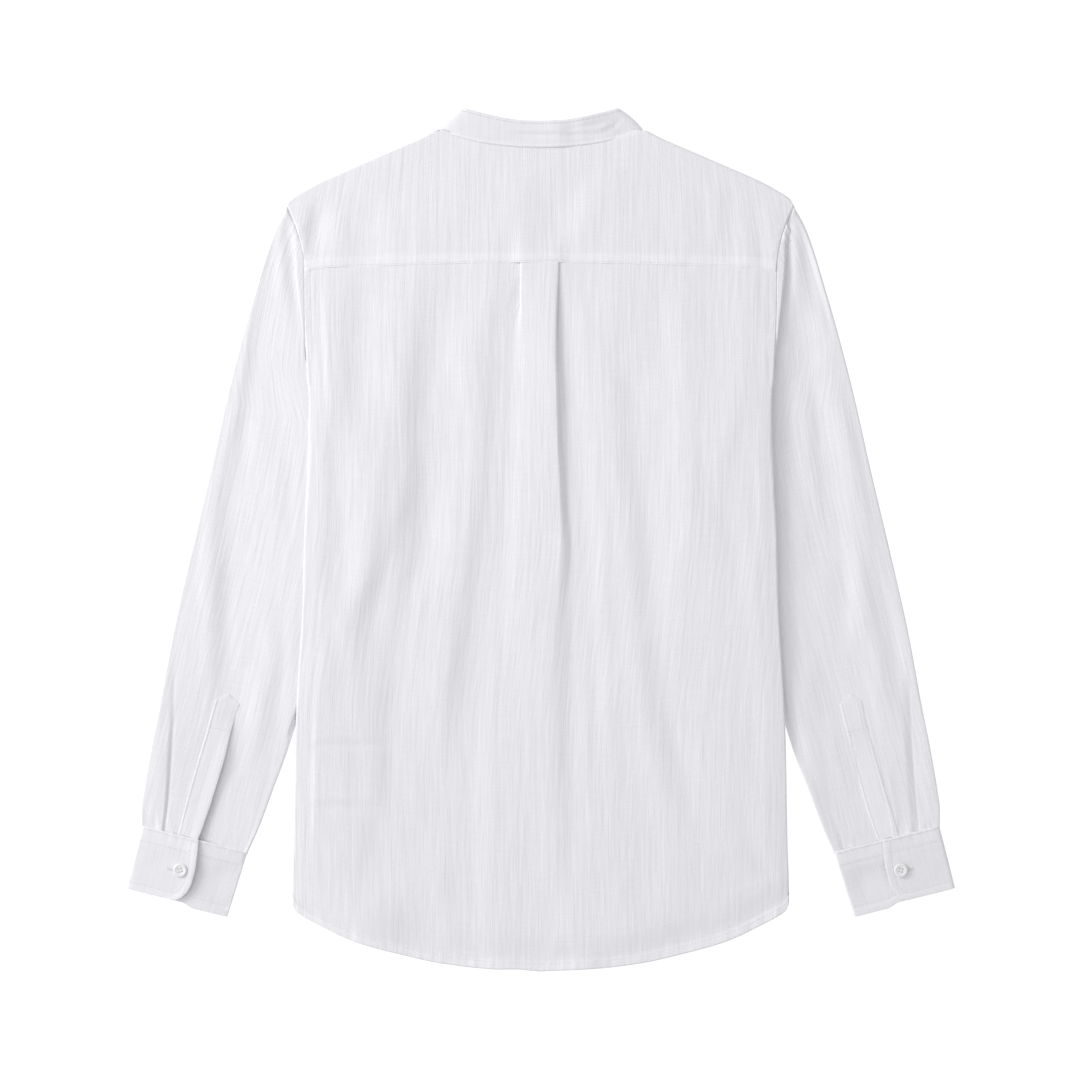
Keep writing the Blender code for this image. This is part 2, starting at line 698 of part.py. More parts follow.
def collar_band():
    places = [step / 2 for step in range(0, 25)]
    rows = []
    for up in (0.0, 0.33, 0.67, 1.0):
        half = []
        for place in places:
            x = mix(read(BAND, "seam_x", place), read(BAND, "edge_x", place), up)
            y = mix(read(BAND, "seam_y", place), read(BAND, "edge_y", place), up)
            z = mix(read(BAND, "seam_z", place), read(BAND, "edge_z", place), up)
            if place > 7:
                z += placket_lift(x, y)
            half.append((x, y, z))
        half.reverse()
        rows.append([(-x, y, z) for x, y, z in half[:-1]] + half[::-1])
    sheet("collar_band", rows, BAND_CLOTH)


def sleeve_ends(y):
    """The inner and outer ends of a sleeve's row whose inner end is at y, as ((x, y), (x, y))."""
    outer_y = y + read(SLEEVE_TILT, "rise", y)
    return (read(SLEEVE_INNER, "x", y), y), (read(SLEEVE_OUTER, "x", outer_y), outer_y)


def sleeve_level(x, y, row_y, side):
    """The height of a sleeve's upper layer, beside and beneath the body."""
    folds = LEFT_SLEEVE_FOLDS if side < 0 else RIGHT_SLEEVE_FOLDS
    edge = read(SHELF, "edge", y) if y > 170.0 else read(BODY_SIDE, "edge", y)
    beside = 1 - ease(-row_y, 165.0, 215.0)
    near_body = mix(BENEATH_BODY, OVER_FRONT, ease(x, edge + 2, edge + 20))
    return mix(SLEEVE_REST, near_body, beside) - fold_depth(folds, x, y) * ease(x, edge + 4, edge + 16)


def cuff_lap(x, y, row_y, share):
    """How far the sleeve drops inside its slit, and steps up outside its pleat, near the cuff."""
    below_tip = ease(-row_y, -PLACKET_TIP - 10, -PLACKET_TIP + 30)
    drop = (OVERLAP_LEVEL - CUFF_LEVEL) * below_tip * (1 - ease(share, SLIT[0], SLIT[1]))
    pleat_x = read(CUFF_PLEAT, "x", y)
    step = read(CUFF_PLEAT, "depth", y)
    rise = step * (ease(x, pleat_x - 1.5, pleat_x + 1.5) - 0.5) * (1 - ease(x, pleat_x + 8, pleat_x + 22))
    return rise - drop


def along_line(line, part):
    """The point a share of the way along a line of points."""
    lengths = [math.dist(a, b) for a, b in zip(line, line[1:])]
    left = part * sum(lengths)
    for start, end, length in zip(line, line[1:], lengths):
        if left <= length or end is line[-1]:
            return tuple(mix(a, b, min(left / length, 1.0)) for a, b in zip(start, end))
        left -= length


def sleeve_head(side):
    """The sleeve's first row, along the yoke's armhole edge and on down the front's."""
    edge = [(x * side, y, z) for x, y, z in yoke_column(1.0, side)]
    rise = edge[: len(RISE_PARTS)]
    turn = edge[len(RISE_PARTS) : len(RISE_PARTS) + len(TURN_ANGLES)]
    corner_y = FRONT_ROWS[0]
    under = edge[len(RISE_PARTS) + len(TURN_ANGLES) :]
    under += [(front_edge(corner_y), corner_y, FLOOR), (front_edge(SEAM_CORNER), SEAM_CORNER, FLOOR)]
    ring = [along_line(rise, share / TOP_SHARES[-1] * 0.995) for share in TOP_SHARES]
    ring += turn
    count = len(UNDER_SHARES)
    ring += [along_line(under, number / count) for number in range(count + 1)]
    return [((x + HEAD_GAP[0]) * side, y + HEAD_GAP[1], z) for x, y, z in ring]


def sleeve_row(row_y, side):
    """One ring of a sleeve: its upper layer from the inner end, its outer fold, then its lower layer."""
    (inner_x, inner_y), (outer_x, outer_y) = sleeve_ends(row_y)
    in_armhole = row_y > UNDERARM
    end_level = mix(5.0, OVERLAP_LEVEL, ease(-row_y, 200.0, 280.0))
    edge_x = outer_x - CLOTH / 2
    if in_armhole:
        x, z, out_x, out_z = edge_path(row_y, 1.0)
        rolled = ease(read(BACK_EDGE, "roll", row_y), 0.2, 0.95)
        aside = (SEAM_GAP + 0.9 * (1 - ease(row_y, 180.0, 205.0))) * (1 - rolled)
        start_x = x + aside + out_x * (STEP + 0.05) * rolled
        start_z = z + out_z * (STEP + 0.05) * rolled
        under_x = front_edge(row_y) + SEAM_GAP
    else:
        start_x = inner_x
        start_z = 0.0
        under_x = inner_x
    bow = ARMHOLE_BOW * ease(row_y, 200.0, SEAM_CORNER)

    def across_y(x, from_x):
        return mix(inner_y, outer_y, min(max((x - from_x) / (outer_x - from_x), 0.0), 1.0))

    points = []
    inner_top = 0.0
    for number, share in enumerate(TOP_SHARES):
        part = share / TOP_SHARES[-1]
        x = mix(start_x, edge_x - OUTER_ROLL, part)
        y = across_y(x, start_x)
        x -= bow * 4 * part * (1 - part)
        level = sleeve_level(x, y, row_y, side) + cuff_lap(x, y, row_y, share)
        level = mix(level, end_level, ease(share, 0.8, 0.93))
        if in_armhole:
            shelf = max(read(SHELF, "edge", y) - 1.5, start_x)
            fall = 1 - ease(x, shelf, shelf + 4.5)
            level = mix(level, start_z, fall) if number else start_z
        else:
            settle = mix(BENEATH_BODY, CUFF_LEVEL, ease(-row_y, 165.0, 240.0))
            level = mix(settle, level, ease(x, inner_x + 3, inner_x + 16))
        level = max(level, LOWEST_SLEEVE)
        if number == 0:
            inner_top = level
        points.append([x, y, level])
    if not in_armhole:
        fold_x = inner_x + CLOTH / 2
        middle = (inner_top + FLOOR) / 2
        points[0] = [fold_x, inner_y, middle]
        points[1] = [fold_x + INNER_ROLL * 0.3, inner_y, mix(middle, inner_top, 0.72)]
        points[2] = [fold_x + INNER_ROLL, inner_y, inner_top]
    top = points[-1][2]
    ring = [tuple(point) for point in points]
    for angle in (35.0, 75.0, 105.0, 145.0):
        turn = math.radians(angle)
        x = edge_x - OUTER_ROLL + OUTER_ROLL * math.sin(turn)
        ring.append((x, across_y(x, start_x), mix(FLOOR, top, 0.5 + 0.5 * math.cos(turn))))
    for share in UNDER_SHARES:
        part = share / TOP_SHARES[-1]
        x = mix(under_x, edge_x - OUTER_ROLL, part)
        ring.append((x, across_y(x, under_x), FLOOR))
    if in_armhole:
        ring.append((under_x, inner_y, FLOOR))
    else:
        ring[-2] = (fold_x + INNER_ROLL, inner_y, FLOOR)
        ring[-1] = (fold_x + INNER_ROLL * 0.3, inner_y, mix(middle, FLOOR, 0.72))
        ring.append(ring[0])
    return [(x * side, y, z) for x, y, z in ring]


def sleeve(side, name):
    rows = [sleeve_head(side)] + [sleeve_row(row_y, side) for row_y in SLEEVE_ROWS[1:]]
    slit = TOP_SHARES.index(SLIT[0])
    tip = SLEEVE_ROWS.index(PLACKET_TIP)
    sheet(f"sleeve_{name}", rows, CLOTH, lambda row, column: column != slit or row < tip)


def sleeve_placket(side, name):
    """The pointed strip over the sleeve's slit, lifted off the sleeve's own points."""
    rows = []
    for row_y, free, stitched in SLEEVE_PLACKET[1:]:
        (inner_x, inner_y), (outer_x, outer_y) = sleeve_ends(row_y)
        row = []
        for part in (0.0, 0.33, 0.67, 1.0):
            share = mix(free, stitched, part)
            x = mix(inner_x, outer_x, share)
            y = mix(inner_y, outer_y, share)
            row.append((x * side, y, PLACKET_LEVEL))
        rows.append(row)
    sheet(f"sleeve_placket_{name}", rows, CLOTH)


def cuff_point(along, down, level, side):
    x = CUFF_TOP[0] + CUFF_ALONG[0] * along + CUFF_DOWN[0] * down
    y = CUFF_TOP[1] + CUFF_ALONG[1] * along + CUFF_DOWN[1] * down
    return x * side, y, level


def cuff(side, name):
    """A strip wound round the wrist: its rounded end on top, round the outer fold, beneath, and back."""
    half = CUFF_CLOTH / 2
    outer_round = (OVERLAP_LEVEL - BAND_FLOOR) / 2
    inner_round = (CUFF_LEVEL - BAND_FLOOR) / 2
    rows = []
    for down in (0.3, 14.0, 28.0, 40.0, 48.0, 54.0, 57.8, 59.6):
        narrow = 1 - 0.035 * down / 60
        end = read(CUFF_END, "along", down)
        row = []
        start = half + outer_round
        for part in (0.0, 0.12, 0.35, 0.68, 1.0):
            row.append(cuff_point(mix(end, start, part), down, OVERLAP_LEVEL, side))
        for angle in (45.0, 90.0, 135.0):
            turn = math.radians(angle)
            along = half + outer_round * (1 - math.sin(turn))
            level = mix(BAND_FLOOR, OVERLAP_LEVEL, 0.5 + 0.5 * math.cos(turn))
            row.append(cuff_point(along, down, level, side))
        stop = CUFF_WIDTH * narrow - half - inner_round
        for part in (0.0, 0.3, 0.6, 0.85, 1.0):
            row.append(cuff_point(mix(start, stop, part), down, BAND_FLOOR, side))
        for angle in (135.0, 90.0, 45.0):
            turn = math.radians(angle)
            along = stop + inner_round * math.sin(turn)
            level = mix(BAND_FLOOR, CUFF_LEVEL, 0.5 + 0.5 * math.cos(turn))
            row.append(cuff_point(along, down, level, side))
        for part in (0.0, 0.35, 0.7, 1.0):
            row.append(cuff_point(mix(stop, UNDERLAP_END, part), down, CUFF_LEVEL, side))
        rows.append(row)
    sheet(f"cuff_{name}", rows, CUFF_CLOTH)
    x, y, level = cuff_point(*CUFF_BUTTON, OVERLAP_LEVEL + half + SEAM_GAP, side)
    button(f"cuff_button_{name}", (x, y), level, BUTTON_THICK)


def main():
    for old in list(bpy.data.objects):
        bpy.data.objects.remove(old)
    back_panel()
    front_panel()
    front_placket()
    yoke()
    collar_band()
    for side, name in ((-1, "left"), (1, "right")):
        sleeve(side, name)
        sleeve_placket(side, name)
        cuff(side, name)


main()
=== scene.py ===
"""A white linen henley shirt, laid flat with its back up: cloth, stitches, buttons, light and camera.

The tables are in millimetres: x is measured from the centre line, y runs up the back, and z is the
height of the middle of the cloth above the surface it lies on.
"""

import bisect
import math

import bmesh
import bpy
from mathutils import Matrix, Vector, noise
from mathutils.bvhtree import BVHTree


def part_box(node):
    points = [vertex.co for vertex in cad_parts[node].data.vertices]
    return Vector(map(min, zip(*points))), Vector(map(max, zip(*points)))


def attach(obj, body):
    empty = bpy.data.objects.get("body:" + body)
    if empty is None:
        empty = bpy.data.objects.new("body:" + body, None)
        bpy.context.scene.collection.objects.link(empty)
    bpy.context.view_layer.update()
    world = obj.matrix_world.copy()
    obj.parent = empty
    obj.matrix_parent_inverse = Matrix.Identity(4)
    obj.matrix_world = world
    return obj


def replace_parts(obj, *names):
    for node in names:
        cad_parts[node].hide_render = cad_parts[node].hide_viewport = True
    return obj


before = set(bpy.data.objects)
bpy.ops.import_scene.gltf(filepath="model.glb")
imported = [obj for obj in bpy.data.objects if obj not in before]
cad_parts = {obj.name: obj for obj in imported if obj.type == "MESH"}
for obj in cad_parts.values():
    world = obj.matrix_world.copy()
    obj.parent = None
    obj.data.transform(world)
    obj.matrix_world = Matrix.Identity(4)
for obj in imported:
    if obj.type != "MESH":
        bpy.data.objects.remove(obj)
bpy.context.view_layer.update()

MM = 0.001
# The solids' cloth, and the gaps between its layers.
CLOTH = 1.2
SEAM_GAP = 0.3
STEP = CLOTH + SEAM_GAP
FLOOR = CLOTH / 2
BAND_CLOTH = 2.0
CUFF_CLOTH = 2.0
BAND_FLOOR = BAND_CLOTH / 2

# The front placket, which the body lies on, and the slit that it fills.
FRONT_BUTTON_THICK = 1.9
PLACKET_LIFT = FRONT_BUTTON_THICK + 2 * SEAM_GAP + CLOTH + 0.3
NOTCH = 13.0
STRIP_HALF = 15.0
STRIP_TOP = 326.6
STRIP_END = 120.0
NOTCH_END = 126.0
UNDER_STRIP_ENDS = (301.2, 127.6)
NECK_GAP = 0.55

# The yoke, the armholes and the body's sides.
YOKE_TURN = (13.0, 32.0)
SHOULDER_ROUND = 2.0
SHOULDER_LEVEL = 9.1
TUCKED = 1.3
TUCKED_DROP = 0.45
YOKE_EDGE = 219.0
SHOULDER_TIP = 235.2
SEAM_CORNER = 249.5
BACK_TOP = SEAM_CORNER - 0.2
FRONT_CORNER = (222.2, 279.2)
ARMHOLE_BOW = 3.4
UNDERARM = 93.0
HEM_SIDE = -336.0
FRONT_HEM_SIDE = -322.0
EDGE_RUN = 15.0
EDGE_ROLL = 0.6
EDGE_SOFT = 0.7
LOWEST_BACK = 2.4
LOWEST_HEM = 1.2
TURNED_END = UNDERARM - 21.0

# The cuffs, the slits and plackets above them, and the sleeves' levels beside the body.
CUFF_TOP = (371.8, -266.0)
CUFF_ALONG = (-0.9697, -0.2449)
CUFF_DOWN = (0.2449, -0.9697)
CUFF_WIDTH = 102.3
CUFF_LEVEL = 3.8
OVERLAP_LEVEL = CUFF_LEVEL + CUFF_CLOTH + SEAM_GAP
UNDERLAP_END = 38.0
SLIT_DROP = 3.0
UNDERLAP_SAG = 3.4
UNDERLAP_TILT = 3.0
CUFF_BUTTON = (45.7, 30.7)
SLEEVE_END = -290.6
SLIT = (0.47, 0.53)
PLACKET_TIP = -157.0
SLIT_TIP = -180.0
CROSS_STITCH = -190.0
LEFT_EDGE_LEVEL = 8.8
RIGHT_EDGE_LEVEL = 7.8
PLACKET_STEP = 0.34
STRIP_PARTS = (
    0.0, 0.01, 0.025, 0.05, 0.09, 0.13, 0.17, 0.25, 0.35, 0.45,
    0.55, 0.65, 0.75, 0.83, 0.87, 0.91, 0.95, 0.975, 0.99, 1.0,
)
PLACKET_CURL = 1.1
PLACKET_TILT = 2.8
OUTER_ROLL = 1.1
INNER_ROLL = 1.6
BENEATH_BODY = 2.8
BENEATH_RIGHT = 5.6
DEEPEST_RIGHT = 4.3
OVER_FRONT = 6.3
SLEEVE_REST = 5.4
LOWEST_SLEEVE = 2.6
LEFT_STEP = 1.7
SHELF_STEP = 0.35
SHELF_DIP = 0.5

# Each table's first row names its columns.
SHOULDER = (
    ("x", "y"),
    (0.0, 400.0),
    (96.6, 381.8),
    (113.0, 373.9),
    (139.0, 362.7),
    (173.4, 347.8),
    (206.9, 332.9),
    (220.0, 325.6),
    (232.0, 317.5),
    (235.2, 312.0),
)
YOKE_SEAM = (
    ("x", "y"),
    (0.0, 258.2),
    (80.0, 256.8),
    (160.0, 254.4),
    (198.6, 253.0),
    (219.0, 249.6),
)
BACK_HEM = (
    ("x", "y"),
    (0.0, -402.0),
    (56.3, -399.0),
    (93.5, -394.3),
    (130.7, -386.0),
    (167.9, -375.7),
    (186.5, -368.3),
    (205.0, -359.0),
    (223.7, -348.8),
    (229.0, -344.3),
    (231.8, -336.0),
)
FRONT_HEM = (
    ("x", "y"),
    (0.0, -388.0),
    (60.0, -385.0),
    (112.0, -376.0),
    (150.0, -365.0),
    (186.0, -347.0),
    (205.0, -332.0),
    (216.0, -322.0),
)
# The visible side of the body: its edge, the height of the back there and of its turned-under part.
BODY_SIDE = (
    ("y", "edge", "top", "under"),
    (258.0, 219.6, 9.4, 4.8),
    (225.0, 219.4, 9.8, 4.8),
    (200.0, 218.9, 10.2, 4.8),
    (185.0, 218.2, 10.8, 4.8),
    (160.0, 217.4, 12.0, 4.8),
    (127.0, 215.3, 13.2, 4.8),
    (83.0, 216.2, 13.4, 4.8),
    (-9.0, 220.0, 13.2, 4.8),
    (-56.0, 221.0, 12.8, 4.8),
    (-102.0, 223.7, 12.2, 4.8),
    (-149.0, 226.5, 11.4, 4.8),
    (-166.0, 227.3, 10.9, 4.8),
    (-185.0, 228.0, 10.2, 3.8),
    (-215.0, 228.8, 8.9, 1.4),
    (-245.0, 229.3, 7.8, 0.6),
    (-288.0, 230.2, 6.2, 0.6),
    (-325.0, 231.6, 4.6, 0.6),
    (-402.0, 231.8, 4.2, 0.6),
)
# How far the back rolls round its side before the armhole seam, and how far it goes on beneath.
BACK_EDGE = (
    ("y", "roll", "wrap"),
    (258.0, 0.02, 0.0),
    (205.0, 0.04, 0.0),
    (187.0, 0.15, 0.0),
    (166.0, 0.5, 0.0),
    (145.0, 1.0, 0.5),
    (130.0, 1.0, 11.0),
    (115.0, 1.0, 22.0),
    (93.0, 1.0, 42.0),
)
FRONT_SIDE = (
    ("y", "x"),
    (FRONT_CORNER[1], FRONT_CORNER[0]),
    (250.0, 210.0),
    (215.0, 203.0),
    (180.0, 198.5),
    (145.0, 192.0),
    (115.0, 182.0),
    (93.0, 168.0),
    (75.0, 169.4),
    (60.0, 180.4),
    (40.0, 188.4),
    (0.0, 198.4),
    (-60.0, 203.8),
    (-150.0, 209.1),
    (-250.0, 212.8),
    (-322.0, 215.6),
)
SLEEVE_OUTER = (
    ("y", "x"),
    (311.6, 235.6),
    (302.0, 241.3),
    (288.3, 247.8),
    (269.7, 254.4),
    (232.5, 265.5),
    (195.3, 276.2),
    (139.5, 290.6),
    (65.1, 307.4),
    (-9.3, 325.0),
    (-83.7, 341.8),
    (-158.1, 355.7),
    (-195.3, 363.2),
    (-232.5, 369.6),
    (-251.0, 372.0),
    (-265.8, 371.9),
)
# The sleeve's inner fold, hidden beneath the body down to y = -172.
SLEEVE_INNER = (
    ("y", "x"),
    (93.0, 171.6),
    (60.0, 173.0),
    (0.0, 180.5),
    (-60.0, 193.5),
    (-120.0, 211.0),
    (-172.0, 227.4),
    (-195.3, 234.8),
    (-232.5, 248.8),
    (-269.7, 262.7),
    (-291.1, 272.4),
)
SLEEVE_TILT = (
    ("y", "rise"),
    (249.5, 61.9),
    (208.0, 56.0),
    (143.0, 45.0),
    (93.0, 40.0),
    (0.0, 36.0),
    (-120.0, 30.0),
    (-215.0, 26.0),
    (-290.6, 24.8),
)
# Where the sleeve comes out from under the body's edge, above its side seam.
SHELF = (
    ("y", "edge"),
    (312.0, 234.5),
    (302.0, 232.0),
    (278.0, 228.6),
    (249.0, 227.2),
    (228.0, 225.0),
    (200.0, 221.8),
    (171.0, 218.4),
    (150.0, 215.0),
)
# The box pleat: its two edges, how far the cloth goes back beneath them, and the levels either side.
PLEAT = (
    ("y", "left", "right", "tuck_left", "tuck_right", "strip", "low_left", "low_right"),
    (258.2, -18.3, 16.7, 14.0, 14.0, 10.4, 8.7, 8.9),
    (240.0, -18.6, 16.2, 8.0, 11.0, 10.6, 8.9, 8.0),
    (222.0, -18.8, 15.6, 0.5, 7.0, 10.9, 8.9, 7.0),
    (205.0, -19.0, 15.1, -4.0, 3.0, 11.3, 8.7, 6.2),
    (183.0, -19.2, 14.9, -8.0, 1.0, 11.9, 8.6, 5.4),
    (140.0, -20.0, 16.4, -10.0, -1.0, 12.4, 8.6, 4.8),
    (100.0, -21.0, 17.4, -12.0, -2.0, 12.3, 8.6, 4.8),
    (50.0, -23.0, 19.6, -13.0, -4.0, 12.0, 8.5, 4.9),
    (0.0, -26.5, 20.6, -14.0, -9.0, 11.4, 8.1, 5.2),
    (-50.0, -32.0, 16.0, -15.0, -14.0, 10.8, 7.7, 5.6),
    (-110.0, -39.0, 11.0, -16.0, -20.0, 9.8, 7.2, 5.8),
    (-180.0, -45.0, 5.0, -18.0, -26.0, 8.6, 6.7, 5.6),
    (-260.0, -46.0, 5.0, -20.0, -28.0, 6.6, 5.2, 4.6),
    (-330.0, -46.0, 5.0, -20.0, -28.0, 4.2, 3.8, 3.5),
    (-402.0, -46.0, 5.0, -20.0, -28.0, 2.5, 2.4, 2.4),
)
# The level of the back between its folds, and how strongly its folds show.
BACK_LEVEL = (
    ("y", "z", "folds"),
    (258.2, 8.6, 0.5),
    (200.0, 8.8, 0.9),
    (100.0, 9.0, 1.0),
    (-100.0, 8.6, 1.0),
    (-200.0, 7.2, 0.9),
    (-290.0, 6.2, 0.5),
    (-370.0, 5.0, 0.3),
    (-402.0, 2.4, 0.0),
)
CUFF_PLEAT = (
    ("y", "x", "depth"),
    (-110.0, 342.0, 0.0),
    (-160.0, 343.0, 1.3),
    (-205.0, 345.5, 1.8),
    (-242.0, 348.3, 1.7),
    (-275.0, 352.0, 1.1),
)
# The pointed strip over a sleeve's slit: its free and its stitched edge, as shares of the way out.
LEFT_PLACKET = (
    ("row", "free", "stitched"),
    (-165.0, 0.431, 0.61),
    (-188.0, 0.443, 0.616),
    (-222.0, 0.431, 0.626),
    (-252.0, 0.437, 0.636),
    (-278.0, 0.45, 0.642),
    (-290.4, 0.466, 0.654),
)
RIGHT_PLACKET = (
    ("row", "free", "stitched"),
    (-165.0, 0.421, 0.582),
    (-188.0, 0.422, 0.578),
    (-222.0, 0.402, 0.581),
    (-252.0, 0.4, 0.589),
    (-278.0, 0.41, 0.605),
    (-290.4, 0.422, 0.619),
)
# The rounded end of a cuff: how far round the cuff it comes, at a distance down from the sleeve.
CUFF_END = (
    ("down", "along"),
    (0.0, 55.6),
    (14.0, 57.7),
    (28.0, 59.2),
    (40.0, 59.0),
    (48.0, 57.2),
    (54.0, 54.0),
    (57.8, 50.0),
    (59.6, 45.0),
)
# The band's half ring, from the middle of the back round its folded side to the middle of the front.
BAND = (
    ("place", "seam_x", "seam_y", "seam_z", "edge_x", "edge_y", "edge_z"),
    (0.0, 0.0, 365.2, 9.0, 0.0, 389.4, 7.6),
    (1.0, 21.0, 365.8, 9.0, 18.0, 390.0, 7.6),
    (2.0, 42.0, 367.8, 9.0, 36.0, 392.6, 7.6),
    (3.0, 60.0, 370.6, 8.9, 50.0, 395.8, 7.5),
    (4.0, 78.0, 375.4, 8.4, 62.0, 398.8, 7.2),
    (5.0, 90.0, 379.4, 7.0, 69.5, 400.8, 6.3),
    (6.0, 95.4, 380.4, 4.4, 72.4, 401.4, 4.2),
    (7.0, 91.0, 375.0, 1.5, 68.5, 397.0, 1.5),
    (8.0, 83.0, 350.5, 1.0, 60.0, 372.0, 1.0),
    (9.0, 65.5, 325.6, 1.0, 46.0, 349.0, 1.0),
    (10.0, 39.6, 309.0, 1.0, 28.0, 333.6, 1.0),
    (11.0, 16.0, 302.8, 1.0, 12.0, 328.2, 1.0),
    (12.0, 0.5, 302.0, 1.0, 0.5, 327.0, 1.0),
)
BAND_SEAM = (("x", "y"),) + tuple((row[1], row[2]) for row in BAND[1:8])

LINEN = (0.83, 0.825, 0.86, 1.0)
# Painted shade: the white thread is painted grey, darker than the linen, so its rows show as dark dots.
SHADED_THREAD_COLOUR = (0.74, 0.735, 0.76, 1.0)
RESIN_COLOURS = (0.80, 0.80, 0.815, 1.0), (0.86, 0.86, 0.87, 1.0)
# The cloth that shows is a thin shell on the form of its solid.
PLY = 0.7
BAND_PLY = 1.3
YOKE_LAP = 0.4
PLEAT_FILL = 2.1
STRIP_STEP = 1.3
BAND_LAP = 2.5
BAND_DROP = 0.7
NECK_END = 94.8
PLEAT_CUTS = (4, 2, 2, 3, 2, 2, 4)
PLEAT_PARTS = sum(PLEAT_CUTS) + 1
SIDE_PARTS = 57
EDGE_PARTS = 26
TURN_ANGLES = (12.0, 32.0, 52.0, 72.0, 92.0, 112.0, 132.0, 152.0, 170.0)
RISE_PARTS = (0.0, 0.003, 0.006, 0.01, 0.014, 0.02, 0.03)
RISE_PARTS += tuple(0.042 + 0.0245 * i for i in range(37)) + (0.95, 0.97, 0.985, 1.0)
YOKE_FRONT_PARTS = (0.12, 0.25, 0.4, 0.55, 0.7, 0.85, 1.0)
TOP_SHARES = tuple(0.007 * i for i in range(67)) + SLIT
TOP_SHARES += tuple(0.54 + 0.0075 * i for i in range(52)) + (0.93,)
UNDER_SHARES = (0.93, 0.85, 0.77, 0.69, 0.61, 0.53, 0.45, 0.37, 0.29, 0.21, 0.13, 0.06)
BAND_UPS = (
    -0.03, 0.0, 0.03, 0.07, 0.12, 0.18, 0.25, 0.33, 0.42,
    0.5, 0.58, 0.66, 0.74, 0.82, 0.88, 0.93, 0.97, 1.0,
)
# How far apart the rows and columns of points are, as shares of a length or in mm.
BACK_ROW = 0.0052
YOKE_COLUMN = 0.0135
FRONT_ROW = 7.0
SLEEVE_ROW = 3.2
SLIT_ROW = 2.6
# Soft relief that the photo shows. A fall is a slope that drops towards +x across its line, and rises if
# it is negative. A ridge stands up along its line, and is a trough if it is negative.
BAND_CREASES = (
    ("rise", "width", "line"),
    (-1.3, 1.7, ((-26, 377.2), (5, 376.6), (30, 376.8), (52, 378))),
    (0.5, 2.0, ((-20, 380.2), (10, 379.6), (30, 380.6), (44, 382))),
    (-0.9, 1.7, ((18, 381.5), (36, 383.0), (52, 386), (60, 389))),
    (0.35, 1.8, ((40, 380.0), (54, 382.5), (64, 387))),
    (-0.9, 1.6, ((56, 378.5), (63, 381.0), (70, 386), (73, 391))),
    (-0.3, 1.8, ((-66, 384), (-50, 381.5), (-36, 380.5))),
    (-0.4, 1.6, ((-48, 372.5), (-26, 371.5), (-6, 371.8))),
)
BAND_FALLS = (
    ("fall", "width", "line"),
    (3.6, 15.0, ((372, 66), (400, 52))),
    (1.9, 8.0, ((370, 44), (394, 40))),
    (2.2, 9.0, ((368, 27), (394, 23))),
    (1.8, 30.0, ((368, 36), (396, 28))),
)
BACK_CREASES = (
    ("rise", "width", "line"),
    (-0.7, 5.0, ((-222, -191), (-180, -190), (-150, -192))),
    (0.4, 3.0, ((-222, -185), (-176, -184), (-150, -186))),
    (0.4, 3.0, ((-226, -242), (-190, -241), (-164, -242))),
    (-0.6, 5.0, ((-226, -248), (-190, -247), (-160, -250))),
    (0.4, 4.0, ((176, -330), (200, -322), (224, -318))),
)
BACK_FALLS = (
    ("fall", "width", "line"),
    (2.5, 12.0, ((190, -112), (149, -118), (93, -119), (37, -127), (-19, -144), (-74, -166), (-130, -174))),
    (4.5, 60.0, ((-190, -172), (-300, -168))),
    (-1.7, 12.0, ((95, -178), (50, -178), (10, -177), (-30, -181))),
    (2.3, 14.0, ((250, -174), (200, -176), (150, -178), (125, -180))),
    (-0.5, 6.0, ((235, -210), (150, -212))),
    (1.3, 8.0, ((-95, -191), (-150, -193))),
    (1.3, 11.0, ((-195, -176), (-260, -178))),
    (1.2, 9.0, ((-195, -146), (-250, -146))),
    (-1.5, 6.0, ((250, -208), (150, -212), (0, -212), (-140, -218))),
    (
        1.5, 8.0,
        ((186, -36), (93, -37), (37, -35), (-19, -37), (-74, -48), (-130, -53), (-205, -58), (-300, -61)),
    ),
    (1.6, 9.0, ((90, -139), (37, -147), (-19, -155), (-50, -160))),
    (1.6, 11.0, ((60, -113), (20, -116), (-20, -122), (-50, -134))),
    (-1.5, 11.0, ((-30, -112), (-74, -120), (-120, -128), (-170, -128))),
    (-1.4, 8.0, ((70, 134), (20, 133), (-10, 130))),
    (-0.8, 12.0, ((240, 178), (130, 180))),
    (-0.8, 14.0, ((-30, 186), (-150, 184))),
    (11.0, 30.0, ((-345, -138), (-385, -134))),
    (4.5, 22.0, ((-355, 118), (-372, 116))),
    (2.4, 14.0, ((-365, 22), (-388, 20))),
    (
        1.9, 12.0,
        ((177, 70), (130, 75), (74, 80), (19, 88), (-56, 94), (-130, 102), (-205, 118), (-279, 134)),
    ),
    (0.7, 9.0, ((130, 188), (110, 181), (60, 172), (20, 167), (-30, 172))),
    (-1.2, 12.0, ((150, 100), (120, 103))),
    (
        -3.2, 18.0,
        ((223, -68), (149, -76), (93, -76), (37, -83), (-19, -89), (-74, -97), (-130, -106), (-190, -110)),
    ),
    (-1.2, 14.0, ((-20, 204), (-150, 206), (-280, 208))),
    (-1.1, 10.0, ((215, -46), (84, -57), (-56, -70), (-167, -84))),
    (-1.0, 9.0, ((60, 44), (-93, 51), (-149, 55), (-250, 58))),
    (-1.4, 12.0, ((223, 119), (112, 125), (19, 116), (-60, 118))),
    (1.0, 10.0, ((-160, -150), (-200, -152), (-260, -158), (-300, -160))),
    (1.0, 9.0, ((-288, 190), (-300, 200), (-325, 214))),
)
STRIP_FALLS = (
    ("fall", "width", "line"),
    (-1.3, 7.0, ((240, -13), (130, -16), (37, -20), (-56, -27), (-150, -32))),
    (1.0, 6.0, ((60, 9), (-20, 7), (-60, 6))),
    (1.3, 10.0, ((-100, 19), (-180, 20), (-330, 20))),
    (1.2, 8.0, ((-372, 20), (-390, 20))),
)
